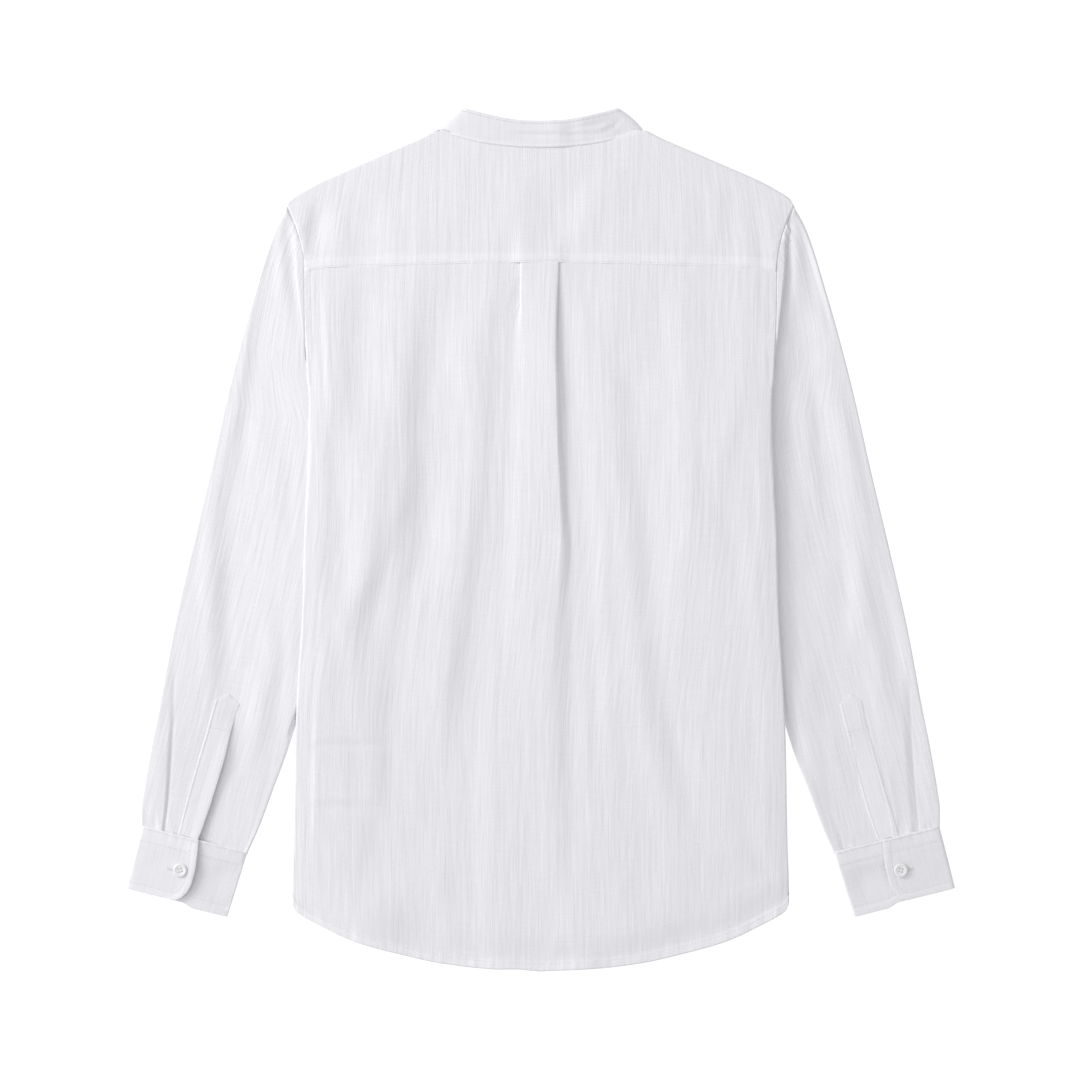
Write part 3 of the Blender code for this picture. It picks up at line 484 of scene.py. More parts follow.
YOKE_FALLS = (
    ("fall", "width", "line"),
    (1.2, 7.0, ((326, -216), (300, -214), (272, -217))),
    (0.9, 9.0, ((310, -179), (255, -180))),
    (-1.1, 9.0, ((310, -147), (262, -148))),
    (-1.1, 10.0, ((345, 186), (300, 185), (256, 186))),
    (1.4, 9.0, ((325, -218), (300, -217), (270, -218))),
    (-1.6, 8.0, ((330, 206), (290, 208), (256, 212))),
    (-0.9, 9.0, ((330, 158), (280, 158))),
    (1.3, 16.0, ((340, -4), (300, -6), (262, 0))),
    (-1.3, 14.0, ((345, 45), (300, 32), (262, 18))),
)
LEFT_SLEEVE_FALLS = (
    ("fall", "width", "line"),
    (-0.9, 8.0, ((280, 247), (230, 252), (180, 260), (100, 272))),
    (1.0, 5.0, ((300, 239), (260, 237), (220, 232))),
    (
        1.5, 10.0,
        ((235, 256), (180, 267), (130, 274), (95, 285), (60, 293), (10, 299), (-56, 298), (-100, 300)),
    ),
    (-0.5, 10.0, ((120, 262), (60, 268), (0, 262), (-60, 266))),
    (1.4, 9.0, ((-20, 298), (-60, 300), (-100, 300), (-140, 304))),
    (0.9, 8.0, ((75, 238), (40, 240), (10, 238))),
    (1.2, 8.0, ((-65, 250), (-110, 244), (-150, 251), (-200, 258))),
    (1.3, 8.0, ((-185, 284), (-250, 298))),
    (-1.0, 9.0, ((-120, 270), (-170, 274), (-210, 280))),
)
RIGHT_SLEEVE_FALLS = (
    ("fall", "width", "line"),
    (-1.2, 10.0, ((140, 264), (102, 273), (20, 284), (-60, 298))),
    (1.0, 8.0, ((50, 244), (-20, 247))),
    (1.5, 10.0, ((280, 244), (240, 253), (200, 262))),
    (1.3, 7.0, ((140, 250), (84, 255), (30, 261))),
    (2.4, 8.0, ((300, 240), (260, 243), (215, 246))),
    (1.3, 10.0, ((120, 290), (40, 308), (-20, 322))),
    (-1.2, 8.0, ((-19, 288), (-60, 288), (-93, 289))),
    (2.0, 10.0, ((-20, 301), (-65, 312), (-110, 322), (-160, 329))),
    (2.2, 13.0, ((-130, 258), (-200, 268))),
    (-1.0, 9.0, ((-150, 262), (-190, 268), (-230, 276))),
)
# The camera and the light, in metres, watts and degrees.
CAMERA_HEIGHT = 3.0
VIEW_WIDTH = 1.0044
VIEW_CENTRE = (-0.465, 0.0)
VIEW_PLANE = 0.007
KEY_PLACE = (-1.85, 0.85, 1.0)
KEY_SIZE = 0.7
KEY_LIGHT = 20.5
WASH_SIDE = (-0.85, 0.15, 0.5)
WASH_ANGLE = 80.0
WASH_LIGHT = 1.05
ROOM_LIGHT = 0.62
TABLE_GLOW = 0.97
TABLE_BELOW = 0.0004

# The stitches, the hems and the fine relief of the cloth.
SEAM_PUCKER = 0.16
ARMHOLE_STITCH = 6.4
HEM = 8.6
HEM_STITCH = HEM - 1.4
YOKE_STITCH = 1.7
CUFF_SEAM_STITCH = 1.3
CUFF_TOP_STITCH = 13.0
CUFF_LOW_STITCH = 53.0
BUTTONHOLE_PLACE = (-9.5, 1.5)
BUTTONHOLE_LENGTH = 6.0
THREAD = 0.5
STITCH_RISE = 0.06
ZIGZAG_APART = 0.75
ZIGZAG_PITCH = 0.5
ZIGZAG_RISE = 0.05
ZIGZAG_BEAD = (0.58, 0.22, 0.14)
# A button's outline, as shares of its radius and its thickness, its holes, and half a strand in them.
BUTTON_PROFILE = (
    (0.0, 0.78), (0.42, 0.78), (0.56, 0.8), (0.66, 0.93), (0.76, 1.0), (0.88, 0.97),
    (0.97, 0.8), (1.0, 0.5), (0.96, 0.2), (0.84, 0.0), (0.0, 0.0),
)
STRAND = (2.0, 0.26, 0.42)
STRAND_PROFILE = [(math.sin(math.pi * step / 6), math.cos(math.pi * step / 6)) for step in range(7)]
HOLE_RADIUS = 0.62
HOLE_PLACE = 1.45
BUTTON_TURN = 0.25
# Points closer than this are one.
MERGE = 0.02
CRUMPLE = 0.00026
WEAVE_DEPTH = 0.00012
TWIST_DEPTH = 0.00005
# The linen's warp, weft, slubs, tufts and patches: their scale in each direction, detail, share of the
# tone and share of the height.
YARNS = (
    ((900.0, 28.0, 1.0), 3.0, 0.04, 1.0),
    ((34.0, 1000.0, 1.0), 3.0, 0.026, 1.0),
    ((330.0, 14.0, 1.0), 2.0, 0.024, 1.4),
    ((1100.0, 1100.0, 1.0), 1.0, 0.03, 0.8),
    ((22.0, 11.0, 1.0), 2.0, 0.01, 0.0),
)
FINE_FOLDS = (150.0, 11.0, 1.0)
THREAD_TWIST = (3000.0, 3000.0, 3000.0)
RESIN_CLOUD = (260.0, 120.0, 260.0)
# How much lighter the cloth is where it lies double, and the painted highlight along the collar band's seam
# bead.
DOUBLE_AND_HIGHLIGHT_TONE = 0.045

# What has been worked out once: the tables' curves, the lines of relief and the pleat's sides.
SPLINES = {}
LINES = {}
PLEATS = {}


def read(table, name, at):
    """The named column's value at a place along the table's first column, on a smooth curve."""
    spline = SPLINES.get((id(table), name))
    if spline is None:
        column = table[0].index(name)
        rows = table[1:] if table[1][0] < table[-1][0] else table[:0:-1]
        spline = smooth_curve([row[0] for row in rows], [row[column] for row in rows])
        SPLINES[id(table), name] = spline
    return along_curve(spline, at)


def smooth_curve(keys, values):
    """The keys, values and slopes of a curve that never overshoots its values."""
    slopes = [(values[i + 1] - values[i]) / (keys[i + 1] - keys[i]) for i in range(len(keys) - 1)]
    tangents = [slopes[0]]
    for before, after in zip(slopes, slopes[1:]):
        tangents.append(2 * before * after / (before + after) if before * after > 0 else 0.0)
    tangents.append(slopes[-1])
    return keys, values, tangents


def along_curve(curve, at):
    keys, values, tangents = curve
    at = min(max(at, keys[0]), keys[-1])
    first = min(max(bisect.bisect_right(keys, at) - 1, 0), len(keys) - 2)
    run = keys[first + 1] - keys[first]
    t = (at - keys[first]) / run
    start = (1 + 2 * t) * (1 - t) ** 2 * values[first] + t * (1 - t) ** 2 * run * tangents[first]
    end = t * t * (3 - 2 * t) * values[first + 1] + t * t * (t - 1) * run * tangents[first + 1]
    return start + end


def ease(x, start, end):
    """0 before start, 1 after end, and smooth between them."""
    t = min(max((x - start) / (end - start), 0.0), 1.0)
    return t * t * (3 - 2 * t)


def kept_above(level, lowest):
    """The level, eased off before it sinks to the lowest one."""
    return lowest + 0.5 * (level - lowest + math.hypot(level - lowest, 0.4))


def mix(a, b, t):
    """The value a share of the way from a to b."""
    return a + (b - a) * t


def relief(table, x, y, profile):
    """What the lines of a table add at a place, each fading out past its ends."""
    lines = LINES.get(id(table))
    if lines is None:
        lines = []
        for height, width, line in table[1:]:
            down = sorted(line)
            lines.append((height, width, smooth_curve([p[0] for p in down], [p[1] for p in down])))
        LINES[id(table)] = lines
    total = 0.0
    for height, width, curve in lines:
        low, high = curve[0][0], curve[0][-1]
        fade = 0.22 * (high - low) + width
        if not low - fade < y < high + fade:
            continue
        away = (x - along_curve(curve, y)) / width
        if abs(away) < 3.4:
            strength = ease(y, low - fade, low + fade) * (1 - ease(y, high - fade, high + fade))
            total += height * strength * profile(away)
    return total


def hump(away, width=1.0):
    """1 on a line, and 0 from about two widths away."""
    return math.exp(-((away / width) ** 2))


def slope_across(away):
    """A ridge, then a drop of 1 across the line, then a trough."""
    return -0.5 * away * math.exp(0.5 - 0.5 * away * away)


def falls(table, x, y):
    """What a table's slopes add at a place."""
    return relief(table, x, y, slope_across)


def ridges(table, x, y):
    """What a table's ridges and troughs add at a place."""
    return relief(table, x, y, hump)


def uneven(x, y, size, tall=1.0):
    """Soft unevenness, from about -1 to 1, in patches of a size in mm and tall times as long."""
    return noise.noise((x / size, y / (size * tall), size))


def puckers(away, along, width):
    """Small gathers beside a line of stitches: away from it and along it, in mm."""
    return SEAM_PUCKER * hump(away, width) * 2 * noise.noise((along / 5.0, away / 22.0, 3.7))


def placket_lift(x, y):
    """How far the front placket and its buttons hold the front panel off the surface."""
    side = 1 - ease(abs(x), STRIP_HALF + 3, STRIP_HALF + 45)
    along = ease(y, STRIP_END - 65, STRIP_END - 14)
    return PLACKET_LIFT * side * along


def beneath_level(x, y):
    """The level of the body's lower layer, which lies over the sleeve at its sides, or on the table."""
    under = read(BODY_SIDE, "under", y)
    over_sleeve = 1 - ease(y, 72.0, 95.0)
    inner = read(SLEEVE_INNER, "x", y)
    return FLOOR + (under - FLOOR) * over_sleeve * ease(x, inner - 34, inner - 6)


def smooth_line(points, cuts):
    """A curve through points, with each of its stretches cut into a number of parts."""
    ends = [points[0]] + list(points) + [points[-1]]
    line = [tuple(points[0])]
    for index, count in enumerate(cuts):
        before, start, end, after = ends[index : index + 4]
        for step in range(1, count + 1):
            t = step / count
            place = []
            for a, b, c, d in zip(before, start, end, after):
                bend = (2 * a - 5 * b + 4 * c - d) * t * t + (3 * b - a - 3 * c + d) * t**3
                place.append(0.5 * (2 * b + (c - a) * t + bend))
            line.append(tuple(place))
    return line


def spaced(start, stop, gap):
    """Places from start to stop, evenly apart and no further than a gap."""
    count = max(1, math.ceil(abs(stop - start) / gap))
    return [mix(start, stop, step / count) for step in range(count + 1)]


def cloth(name, rows, weave, thick, keep=None, plain=None, double_and_highlight_mask=None):
    """A thin shell of cloth through rows of points, with its cut pattern laid out flat in a UV map.

    Between two columns named as plain, the pattern's width follows x, so that its threads run straight.
    Where double_and_highlight_mask says so, the cloth looks a little lighter: where a hem or a seam's edge
    lies beneath, and, on the collar band, as a painted highlight along its seam's bead.
    """
    shape = bmesh.new()
    across = len(rows[0])
    bmesh.ops.create_grid(shape, x_segments=across - 1, y_segments=len(rows) - 1, size=1)
    flat = []
    down = 0.0
    for number, row in enumerate(rows):
        if number:
            down -= math.dist(row[across // 2], rows[number - 1][across // 2])
        run = [0.0]
        for column, (a, b) in enumerate(zip(row, row[1:])):
            straight = plain and plain[0] <= column < plain[1]
            run.append(run[-1] + (b[0] - a[0] if straight else math.dist(a, b)))
        middle = run[across // 2]
        flat += [((place - middle) * MM, down * MM) for place in run]
    shape.verts.ensure_lookup_table()
    shape.faces.ensure_lookup_table()
    cut = shape.loops.layers.uv.new("cut")
    double_and_highlight = shape.verts.layers.float.new("double_and_highlight")
    for index, vertex in enumerate(shape.verts):
        row, column = divmod(index, across)
        vertex.co = [value * MM for value in rows[row][column]]
        vertex[double_and_highlight] = double_and_highlight_mask(*rows[row][column][:2]) if double_and_highlight_mask else 0.0
    for face in shape.faces:
        for corner in face.loops:
            corner[cut].uv = flat[corner.vert.index]
    if keep:
        drop = [face for index, face in enumerate(shape.faces) if not keep(*divmod(index, across - 1))]
        bmesh.ops.delete(shape, geom=drop, context="FACES")
    bmesh.ops.remove_doubles(shape, verts=shape.verts, dist=MERGE * MM)
    bmesh.ops.recalc_face_normals(shape, faces=shape.faces)
    piece = finished(name, shape, weave)
    wall = piece.modifiers.new("wall", "SOLIDIFY")
    wall.thickness = thick * MM
    wall.offset = 0.0
    wall.use_quality_normals = True
    return piece


def finished(name, shape, material):
    """A bmesh made into a piece that rides on the shirt."""
    mesh = bpy.data.meshes.new(name)
    shape.to_mesh(mesh)
    shape.free()
    mesh.materials.append(material)
    mesh.shade_smooth()
    piece = placed(name, mesh)
    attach(piece, "root")
    return piece


def placed(name, data):
    thing = bpy.data.objects.new(name, data)
    bpy.context.collection.objects.link(thing)
    return thing


def front_edge(y):
    """How far out the front panel's side is."""
    return read(FRONT_SIDE, "x", y)


def pleat_side(y, side):
    """One side of the box pleat, from the strip outwards, as (x, z) with x growing away from the strip.

    Near the yoke it is folded under itself, and further down it opens into a soft slope.
    """
    key = round(y, 1), side
    if key not in PLEATS:
        name = "right" if side > 0 else "left"
        fold = read(PLEAT, name, y) * side
        tuck = read(PLEAT, "tuck_" + name, y)
        strip = read(PLEAT, "strip", y)
        if side < 0:
            strip = mix(strip, read(PLEAT, "low_left", y) + STRIP_STEP, ease(-y, -262.0, -215.0))
        low = read(PLEAT, "low_" + name, y) + PLEAT_FILL * ease(-y, -250.0, -150.0) * (side > 0)
        tall = strip - low
        middle = (strip + low) / 2
        turn = min(0.9, tuck / 2)
        folded = smooth_line(
            [
                (fold - 6.0, strip),
                (fold - 1.4, strip),
                (fold, strip - tall / 4),
                (fold - turn, middle),
                (fold - tuck + turn, middle),
                (fold - tuck, low + tall / 4),
                (fold - tuck + 1.4, low),
                (fold - tuck + 9.0, low + 0.2),
            ],
            PLEAT_CUTS,
        )
        run = max(-tuck, 1.0)
        opened = []
        for index in range(PLEAT_PARTS):
            share = index / (PLEAT_PARTS - 1)
            x = fold - 6.0 + (run + 15.0) * share
            opened.append((x, strip - tall * ease(x, fold - 2.0, fold + run)))
        still_folded = ease(tuck, -3.0, 1.5)
        PLEATS[key] = [
            tuple(mix(a, b, still_folded) for a, b in zip(*pair)) for pair in zip(opened, folded)
        ]
    return PLEATS[key]


def edge_path(y, part):
    """The back's side at y as (x, z, outward x, outward z), from part 0, near the edge, to 1, its seam."""
    roll = read(BACK_EDGE, "roll", y)
    wrap = read(BACK_EDGE, "wrap", y)
    top = read(BODY_SIDE, "top", y)
    under = read(BODY_SIDE, "under", y)
    rise = (top - under) / 2
    edge = read(BODY_SIDE, "edge", y) - PLY / 2
    centre = edge - EDGE_ROLL * math.sin(min(roll, 0.5) * math.pi)
    if y < UNDERARM:
        wrap = centre - front_edge(y) - SEAM_GAP
    flat = EDGE_RUN - EDGE_ROLL
    arc = roll * math.pi * (rise + EDGE_ROLL) / 2
    place = part * (flat + arc + wrap)
    if place <= flat:
        return centre - flat + place, top, 0.0, 1.0
    if place <= flat + arc:
        angle = (place - flat) / arc * roll * math.pi
        x = centre + EDGE_ROLL * math.sin(angle)
        return x, (top + under) / 2 + rise * math.cos(angle), math.sin(angle), math.cos(angle)
    x = centre - (place - flat - arc)
    level = under if y > TURNED_END else beneath_level(x, y)
    return x, level, 0.0, -1.0


def back_height(x, y):
    """The back's height away from its pleat and its edges."""
    strength = read(BACK_LEVEL, "folds", y)
    side = read(BODY_SIDE, "top", y)
    edge = read(BODY_SIDE, "edge", y)
    level = mix(read(BACK_LEVEL, "z", y), side, ease(abs(x), 45, edge - 12))
    level += (falls(BACK_FALLS, x, y) + 0.9 * uneven(x, y, 40, 2.4)) * mix(0.4, 1.0, strength)
    level += ridges(BACK_CREASES, y, x) + 0.12 * uneven(x, y, 11, 3.0)
    return max(mix(level, side, ease(abs(x), edge - 22, edge - 10)), LOWEST_BACK)


def hem_relief(away, along):
    """A narrow hem's two layers of cloth, stitched groove and gathers, at a distance up from its edge."""
    lift = 0.6 * (1 - ease(away, HEM - 0.5, HEM + 1.0)) - 1.7 * (1 - ease(away, HEM + 2.0, HEM + 26.0))
    groove = 0.16 * hump(away - HEM_STITCH, 0.9)
    return lift - groove + 1.8 * puckers(away - HEM / 2, along, HEM * 0.8)


def armhole_relief(away, y):
    """The gathered band between the armhole seam and its row of stitches."""
    return 1.6 * puckers(away - 3.0, y, 3.0) - 0.14 * hump(away - ARMHOLE_STITCH, 0.8)


def back_point(index, y, side):
    """(x, z) of one point of the back's row, from the pleat out to the side seam, at about y."""
    if index < PLEAT_PARTS:
        return pleat_side(y, side)[index]
    past = index - PLEAT_PARTS - SIDE_PARTS
    if past >= 0:
        return edge_path(y, past / (EDGE_PARTS - 1))[:2]
    start, level = pleat_side(y, side)[-1]
    x = mix(start, edge_path(y, 0.0)[0], (index - PLEAT_PARTS + 1) / (SIDE_PARTS + 1))
    return x, mix(level, back_height(x * side, y), ease(x, start, start + 24))


def back_half(down, side):
    """One row of the back from its middle out to one side seam."""
    y = mix(read(YOKE_SEAM, "y", 0.0), read(BACK_HEM, "y", 0.0), down)
    row = []
    for index in range(PLEAT_PARTS + SIDE_PARTS + EDGE_PARTS):
        past = index - PLEAT_PARTS - SIDE_PARTS
        on_top = past < EDGE_PARTS / 2
        for _ in range(2):
            x, z = back_point(index, y, side)
            top_y = read(YOKE_SEAM, "y", x) - SEAM_GAP
            if not on_top:
                top_y = mix(top_y, BACK_TOP, ease(down, 0.02, 0.1))
            hem_y = read(BACK_HEM, "y", x)
            if not on_top:
                hem_y = mix(HEM_SIDE, FRONT_HEM_SIDE, past / (EDGE_PARTS - 1))
            y = mix(top_y, hem_y, down)
        if on_top or down < 0.1:
            z -= YOKE_LAP * ease(y, top_y - 0.6, top_y + 0.8)
            z += hem_relief(y - hem_y, x * side) + puckers(y - top_y, x * side, 5.0)
            inside = read(BODY_SIDE, "edge", y) - x
            z += armhole_relief(inside, y) * ease(y, 165.0, 192.0)
            if index < PLEAT_PARTS:
                soft = 0.25 * uneven(x * side, y, 16, 4.0) + falls(STRIP_FALLS, x * side, y)
                z += soft * ease(top_y - y, 0.0, 20.0)
            z = kept_above(z, LOWEST_HEM)
        if past >= 0:
            top = read(BODY_SIDE, "top", y)
            under = read(BODY_SIDE, "under", y)
            inside = max(read(BODY_SIDE, "edge", y) - x, 0.0) if on_top else 0.0
            lowered = EDGE_SOFT * (1 - ease(inside, 1.0, 13.0)) * (1 - ease(y, 150.0, 190.0))
            z -= lowered * min(max((z - under) / (top - under), 0.0), 1.0)
        row.append((x * side, y, z))
    return row


def back_panel(weave):
    """The back, in rows from under the yoke's seam down to the hem."""
    rows = []
    downs = [-0.0052, -0.003, -0.0012, 0.0, 0.0012, 0.003, 0.006, 0.01]
    downs += spaced(0.014, 0.97, BACK_ROW) + spaced(0.9725, 1.0, 0.0023)
    for down in downs:
        left = back_half(down, -1)
        right = back_half(down, 1)
        middle = ((left[0][0] + right[0][0]) / 2, left[0][1], (left[0][2] + right[0][2]) / 2)
        rows.append(left[::-1] + [middle] + right)

    def hemmed(x, y):
        return 1 - ease(y - read(BACK_HEM, "y", abs(x)), HEM - 0.6, HEM + 0.4)

    plain = EDGE_PARTS, len(rows[0]) - EDGE_PARTS
    piece = cloth("back", rows, weave, PLY, plain=plain, double_and_highlight_mask=hemmed)
    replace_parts(piece, "back_panel")
    return piece


def front_neck():
    """The front neckline from the slit to the shoulder seam, just below the band's own points."""
    points = []
    for place in (10.5, 10.0, 9.5, 9.0, 8.5, 8.0):
        points.append((read(BAND, "seam_x", place), read(BAND, "seam_y", place) - NECK_GAP))
    slit_y = mix(read(BAND, "seam_y", 11.5), read(BAND, "seam_y", 11.0), 0.6) - NECK_GAP
    return [(NOTCH, slit_y)] + points


def front_panel(weave):
    """The front, in rows from the neck and shoulder seams down to the hem, slit down to the notch."""
    neck = smooth_line(front_neck(), (3,) * 6)
    corner_x, corner_y = neck[-1]
    top = list(neck)
    for along in spaced(0.0, 1.0, 0.06)[1:]:
        top.append((mix(corner_x, FRONT_CORNER[0], along), mix(corner_y, FRONT_CORNER[1], along)))
    shares = [(x - NOTCH) / (FRONT_CORNER[0] - NOTCH) for x, _ in top]
    row_ys = spaced(FRONT_CORNER[1], NOTCH_END, FRONT_ROW)
    notch_row = len(row_ys) - 1
    row_ys += spaced(NOTCH_END, FRONT_HEM_SIDE, FRONT_ROW)[1:]
    rows = []
    for side_y in row_ys:
        down = (FRONT_CORNER[1] - side_y) / (FRONT_CORNER[1] - FRONT_HEM_SIDE)
        half = []
        for share, (_, top_y) in zip(shares, top):
            x = mix(NOTCH, read(FRONT_SIDE, "x", side_y), share)
            hem_x = mix(NOTCH, read(FRONT_SIDE, "x", FRONT_HEM_SIDE), share)
            y = mix(top_y, read(FRONT_HEM, "y", hem_x), down)
            rise = 0.35 * max(uneven(x, y, 30, 2.0), 0.0)
            half.append((x, y, beneath_level(x, y) + placket_lift(x, y) + rise))
        rows.append([(-x, y, z) for x, y, z in reversed(half)] + half)
    middle = len(shares) - 1
    piece = cloth("front", rows, weave, PLY, lambda row, column: column != middle or row >= notch_row)
    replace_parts(piece, "front_panel")


def front_placket(weave):
    """The strip with the buttons, outermost, and the strip beneath it, which fills the panel's slit."""
    level = FLOOR + PLACKET_LIFT
    outer = []
    for y in spaced(STRIP_TOP, STRIP_END, 3.0):
        xs = spaced(-STRIP_HALF, STRIP_HALF, 2.5)
        outer.append([(x, y, level - STEP + puckers(STRIP_HALF - abs(x), y, 4.0)) for x in xs])
    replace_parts(cloth("placket_over", outer, weave, PLY), "front_placket")
    half = NOTCH - SEAM_GAP
    inner = []
    for y in spaced(*UNDER_STRIP_ENDS, 5.0):
        inner.append([(x, y, level) for x in spaced(-half, half, 4.0)])
    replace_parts(cloth("placket_under", inner, weave, PLY), "front_placket_under")


def yoke_height(x, y):
    """The yoke's height, which meets the back's at the seam and the band's at the neck."""
    seam = read(YOKE_SEAM, "y", abs(x))
    strip = ease(x, -30.0, -16.0) * (1 - ease(x, 14.0, 28.0))
    at_seam = mix(back_height(x, seam), read(PLEAT, "strip", seam), strip)
    at_seam = mix(at_seam, read(BODY_SIDE, "top", seam), ease(abs(x), 196.0, 216.0))
    above = mix(8.8, 8.4, ease(abs(x), 90.0, 220.0))
    level = mix(at_seam, above, ease(y, seam, seam + 50)) + falls(YOKE_FALLS, x, y)
    level += 0.35 * uneven(x, y, 30, 1.6) + 0.1 * uneven(x, y, 10, 1.5)
    allowance = 0.22 * ease(y, seam - 1, seam) * (1 - ease(y, seam + 8.5, seam + 11))
    return level + allowance - 0.1 * hump(y - seam - 1.8, 0.9)


def yoke_column(share, side):
    """The yoke from its back seam over the shoulder to its front seam, a share of the way out."""
    bottom_x = share * YOKE_EDGE
    top_x = share * SHOULDER_TIP
    bottom_y = read(YOKE_SEAM, "y", bottom_x)
    at_neck = top_x < NECK_END - 0.1
    shoulder_y = read(SHOULDER, "y", top_x) - CLOTH / 2 - SHOULDER_ROUND
    lapped = 1 - ease(top_x, 88.0, 101.0)
    top_y = read(BAND_SEAM, "y", top_x) + BAND_LAP * lapped if at_neck else shoulder_y
    level = mix(8.9, SHOULDER_LEVEL, ease(top_x, 62.0, 96.0))
    bow = ARMHOLE_BOW * ease(share, 0.8, 1.0)
    seam_y = read(BAND_SEAM, "y", top_x)
    line = []
    for part in RISE_PARTS:
        x = mix(bottom_x, top_x, part) - bow * 4 * part * (1 - part)
        y = mix(bottom_y, top_y, part)
        z = yoke_height(x * side, y) + puckers(y - bottom_y, x * side, 4.0)
        z = mix(z, level, ease(part, 0.55, 1.0))
        if at_neck:
            z -= BAND_DROP * lapped * ease(y, seam_y - 0.8, seam_y + 1.2)
        z -= 0.12 * (1 - ease(y, bottom_y, bottom_y + 1.6)) + 0.15 * ease(share, 0.985, 1.0)
        z += armhole_relief((1 - share) * mix(YOKE_EDGE, SHOULDER_TIP, part), y)
        line.append((x * side, y, z))
    for angle in TURN_ANGLES:
        turn = math.radians(angle)
        z = mix(FLOOR, level, 0.5 + 0.5 * math.cos(turn))
        line.append((top_x * side, shoulder_y + SHOULDER_ROUND * math.sin(turn), z))
    front_y = shoulder_y + CLOTH / 2 + SHOULDER_ROUND - YOKE_TURN[1]
    neck_x, neck_y = front_neck()[-1]
    along = (top_x - YOKE_TURN[0] - neck_x) / (FRONT_CORNER[0] - neck_x)
    front_y = min(front_y, mix(neck_y, FRONT_CORNER[1], along)) + SEAM_GAP
    for part in YOKE_FRONT_PARTS:
        line.append(((top_x - YOKE_TURN[0] * part) * side, mix(shoulder_y, front_y, part), FLOOR))
    return line


def yoke(weave):
    """The yoke, in columns over the shoulders, which stops at the collar between them."""
    neck_share = NECK_END / SHOULDER_TIP
    shares = spaced(0.0, neck_share, YOKE_COLUMN)
    neck = len(shares) - 1
    shares += spaced(neck_share, 0.975, YOKE_COLUMN)[1:] + spaced(0.975, 1.0, 0.006)[1:]
    columns = [yoke_column(share, -1) for share in reversed(shares[1:])]
    columns += [yoke_column(share, 1) for share in shares]
    rows = list(zip(*columns))
    first = len(shares) - 1 - neck
    last = len(shares) - 1 + neck
    top_rows = len(RISE_PARTS) - 1
    piece = cloth(
        "yoke_over_shoulders",
        rows,
        weave,
        PLY,
        lambda row, column: row < top_rows or not first <= column < last,
        double_and_highlight_mask=lambda x, y: 1 - ease(y - read(YOKE_SEAM, "y", abs(x)), 8.6, 10.4),
    )
    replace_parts(piece, "yoke")
    return piece


def band_point(place, up):
    """A point of the collar band, a share of the way up it."""
    seam = (read(BAND, f"seam_{axis}", place) for axis in "xyz")
    edge = (read(BAND, f"edge_{axis}", place) for axis in "xyz")
    return tuple(mix(low, high, up) for low, high in zip(seam, edge))


def collar_band(weave):
    """The band, a ring in rows from its seam up to its free edge."""
    places = spaced(0.0, 12.0, 0.09)
    rows = []
    for up in BAND_UPS:
        half = []
        for place in places:
            tab = 0.15 * ease(place, 4.6, 5.6) * (1 - ease(place, 6.4, 7.4)) * (1 - ease(up, 0.0, 0.3))
            x, y, z = band_point(place, up - tab)
            x += 2.6 * (1 - (2 * up - 1) ** 2) * ease(place, 4.0, 6.0) * (1 - ease(place, 6.6, 8.0))
            if place > 7:
                z += placket_lift(x, y)
            half.append((x, y, z))
        ring = [(-x, y, z) for x, y, z in reversed(half[1:])] + half
        rows.append([(x, y, kept_above(z + band_relief(x, y, up), PLY)) for x, y, z in ring])

    # Painted highlight: a narrow strip just above the band's seam is painted lighter, as if its bead catches
    # the light.
    def painted_bead_highlight(x, y):
        up = y - read(BAND_SEAM, "y", abs(x))
        return ease(up, 0.2, 0.7) * (1 - ease(up, 2.2, 2.8))

    piece = cloth("neck_band", rows, weave, BAND_PLY, double_and_highlight_mask=painted_bead_highlight)
    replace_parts(piece, "collar_band")
    return piece


def band_relief(x, y, up):
    """The band's seam ridge, its stitched groove near the top edge and its soft creases."""
    on_back = ease(y, 368.0, 376.0) if abs(x) > 62 else ease(y, 355.0, 364.0)
    seam = 0.3 * hump(up - 0.03, 0.05) - 0.6 * (1 - ease(up, -0.03, 0.05))
    edge = -0.14 * hump(up - 0.9, 0.035) - 0.3 * ease(up, 0.96, 1.0)
    soft = ridges(BAND_CREASES, y, x) + falls(BAND_FALLS, x, y) + 1.6 * up + 0.2 * uneven(x, y, 12, 0.7)
    return seam + edge + on_back * soft


def body_edge(y):
    """How far out the body's edge lies on the sleeve, above and below the end of the shelf."""
    return read(SHELF, "edge", y) if y > 170.0 else read(BODY_SIDE, "edge", y)


def sleeve_ends(y):
    """The inner and outer ends of a sleeve's row whose inner end is at y, as ((x, y), (x, y))."""
    outer_y = y + read(SLEEVE_TILT, "rise", y)
    return (read(SLEEVE_INNER, "x", y), y), (read(SLEEVE_OUTER, "x", outer_y), outer_y)


def across_sleeve(row_y, share):
    """The (x, y) place a share of the way out across a sleeve's row."""
    return tuple(mix(inner, outer, share) for inner, outer in zip(*sleeve_ends(row_y)))


def sleeve_level(x, y, row_y, side):
    """The height of a sleeve's upper layer, beside and beneath the body."""
    edge = body_edge(y)
    beside = 1 - ease(-row_y, 165.0, 215.0)
    if side < 0:
        top = read(BODY_SIDE, "top", y) - mix(LEFT_STEP, SHELF_STEP, ease(y, 150, 190))
        swell = max(top - OVER_FRONT, 0.0) * hump(x - edge, 48)
        near_body = mix(BENEATH_BODY, OVER_FRONT + swell, ease(x, edge - 3.4, edge - 1.6))
        dip = SHELF_DIP * ease(y, 205, 235) * (1 - 0.6 * ease(y, 270, 295))
        near_body -= dip * (1 - ease(x, edge, edge + 13))
    else:
        near_body = mix(BENEATH_RIGHT, DEEPEST_RIGHT, ease(x, edge + 1, edge + 18))
        near_body = mix(near_body, 4.9, ease(x, edge + 18, edge + 70))
        near_body -= 1.2 * hump(x - edge - 4, 4) * ease(y, 160, 200)
    return mix(SLEEVE_REST, near_body, beside)


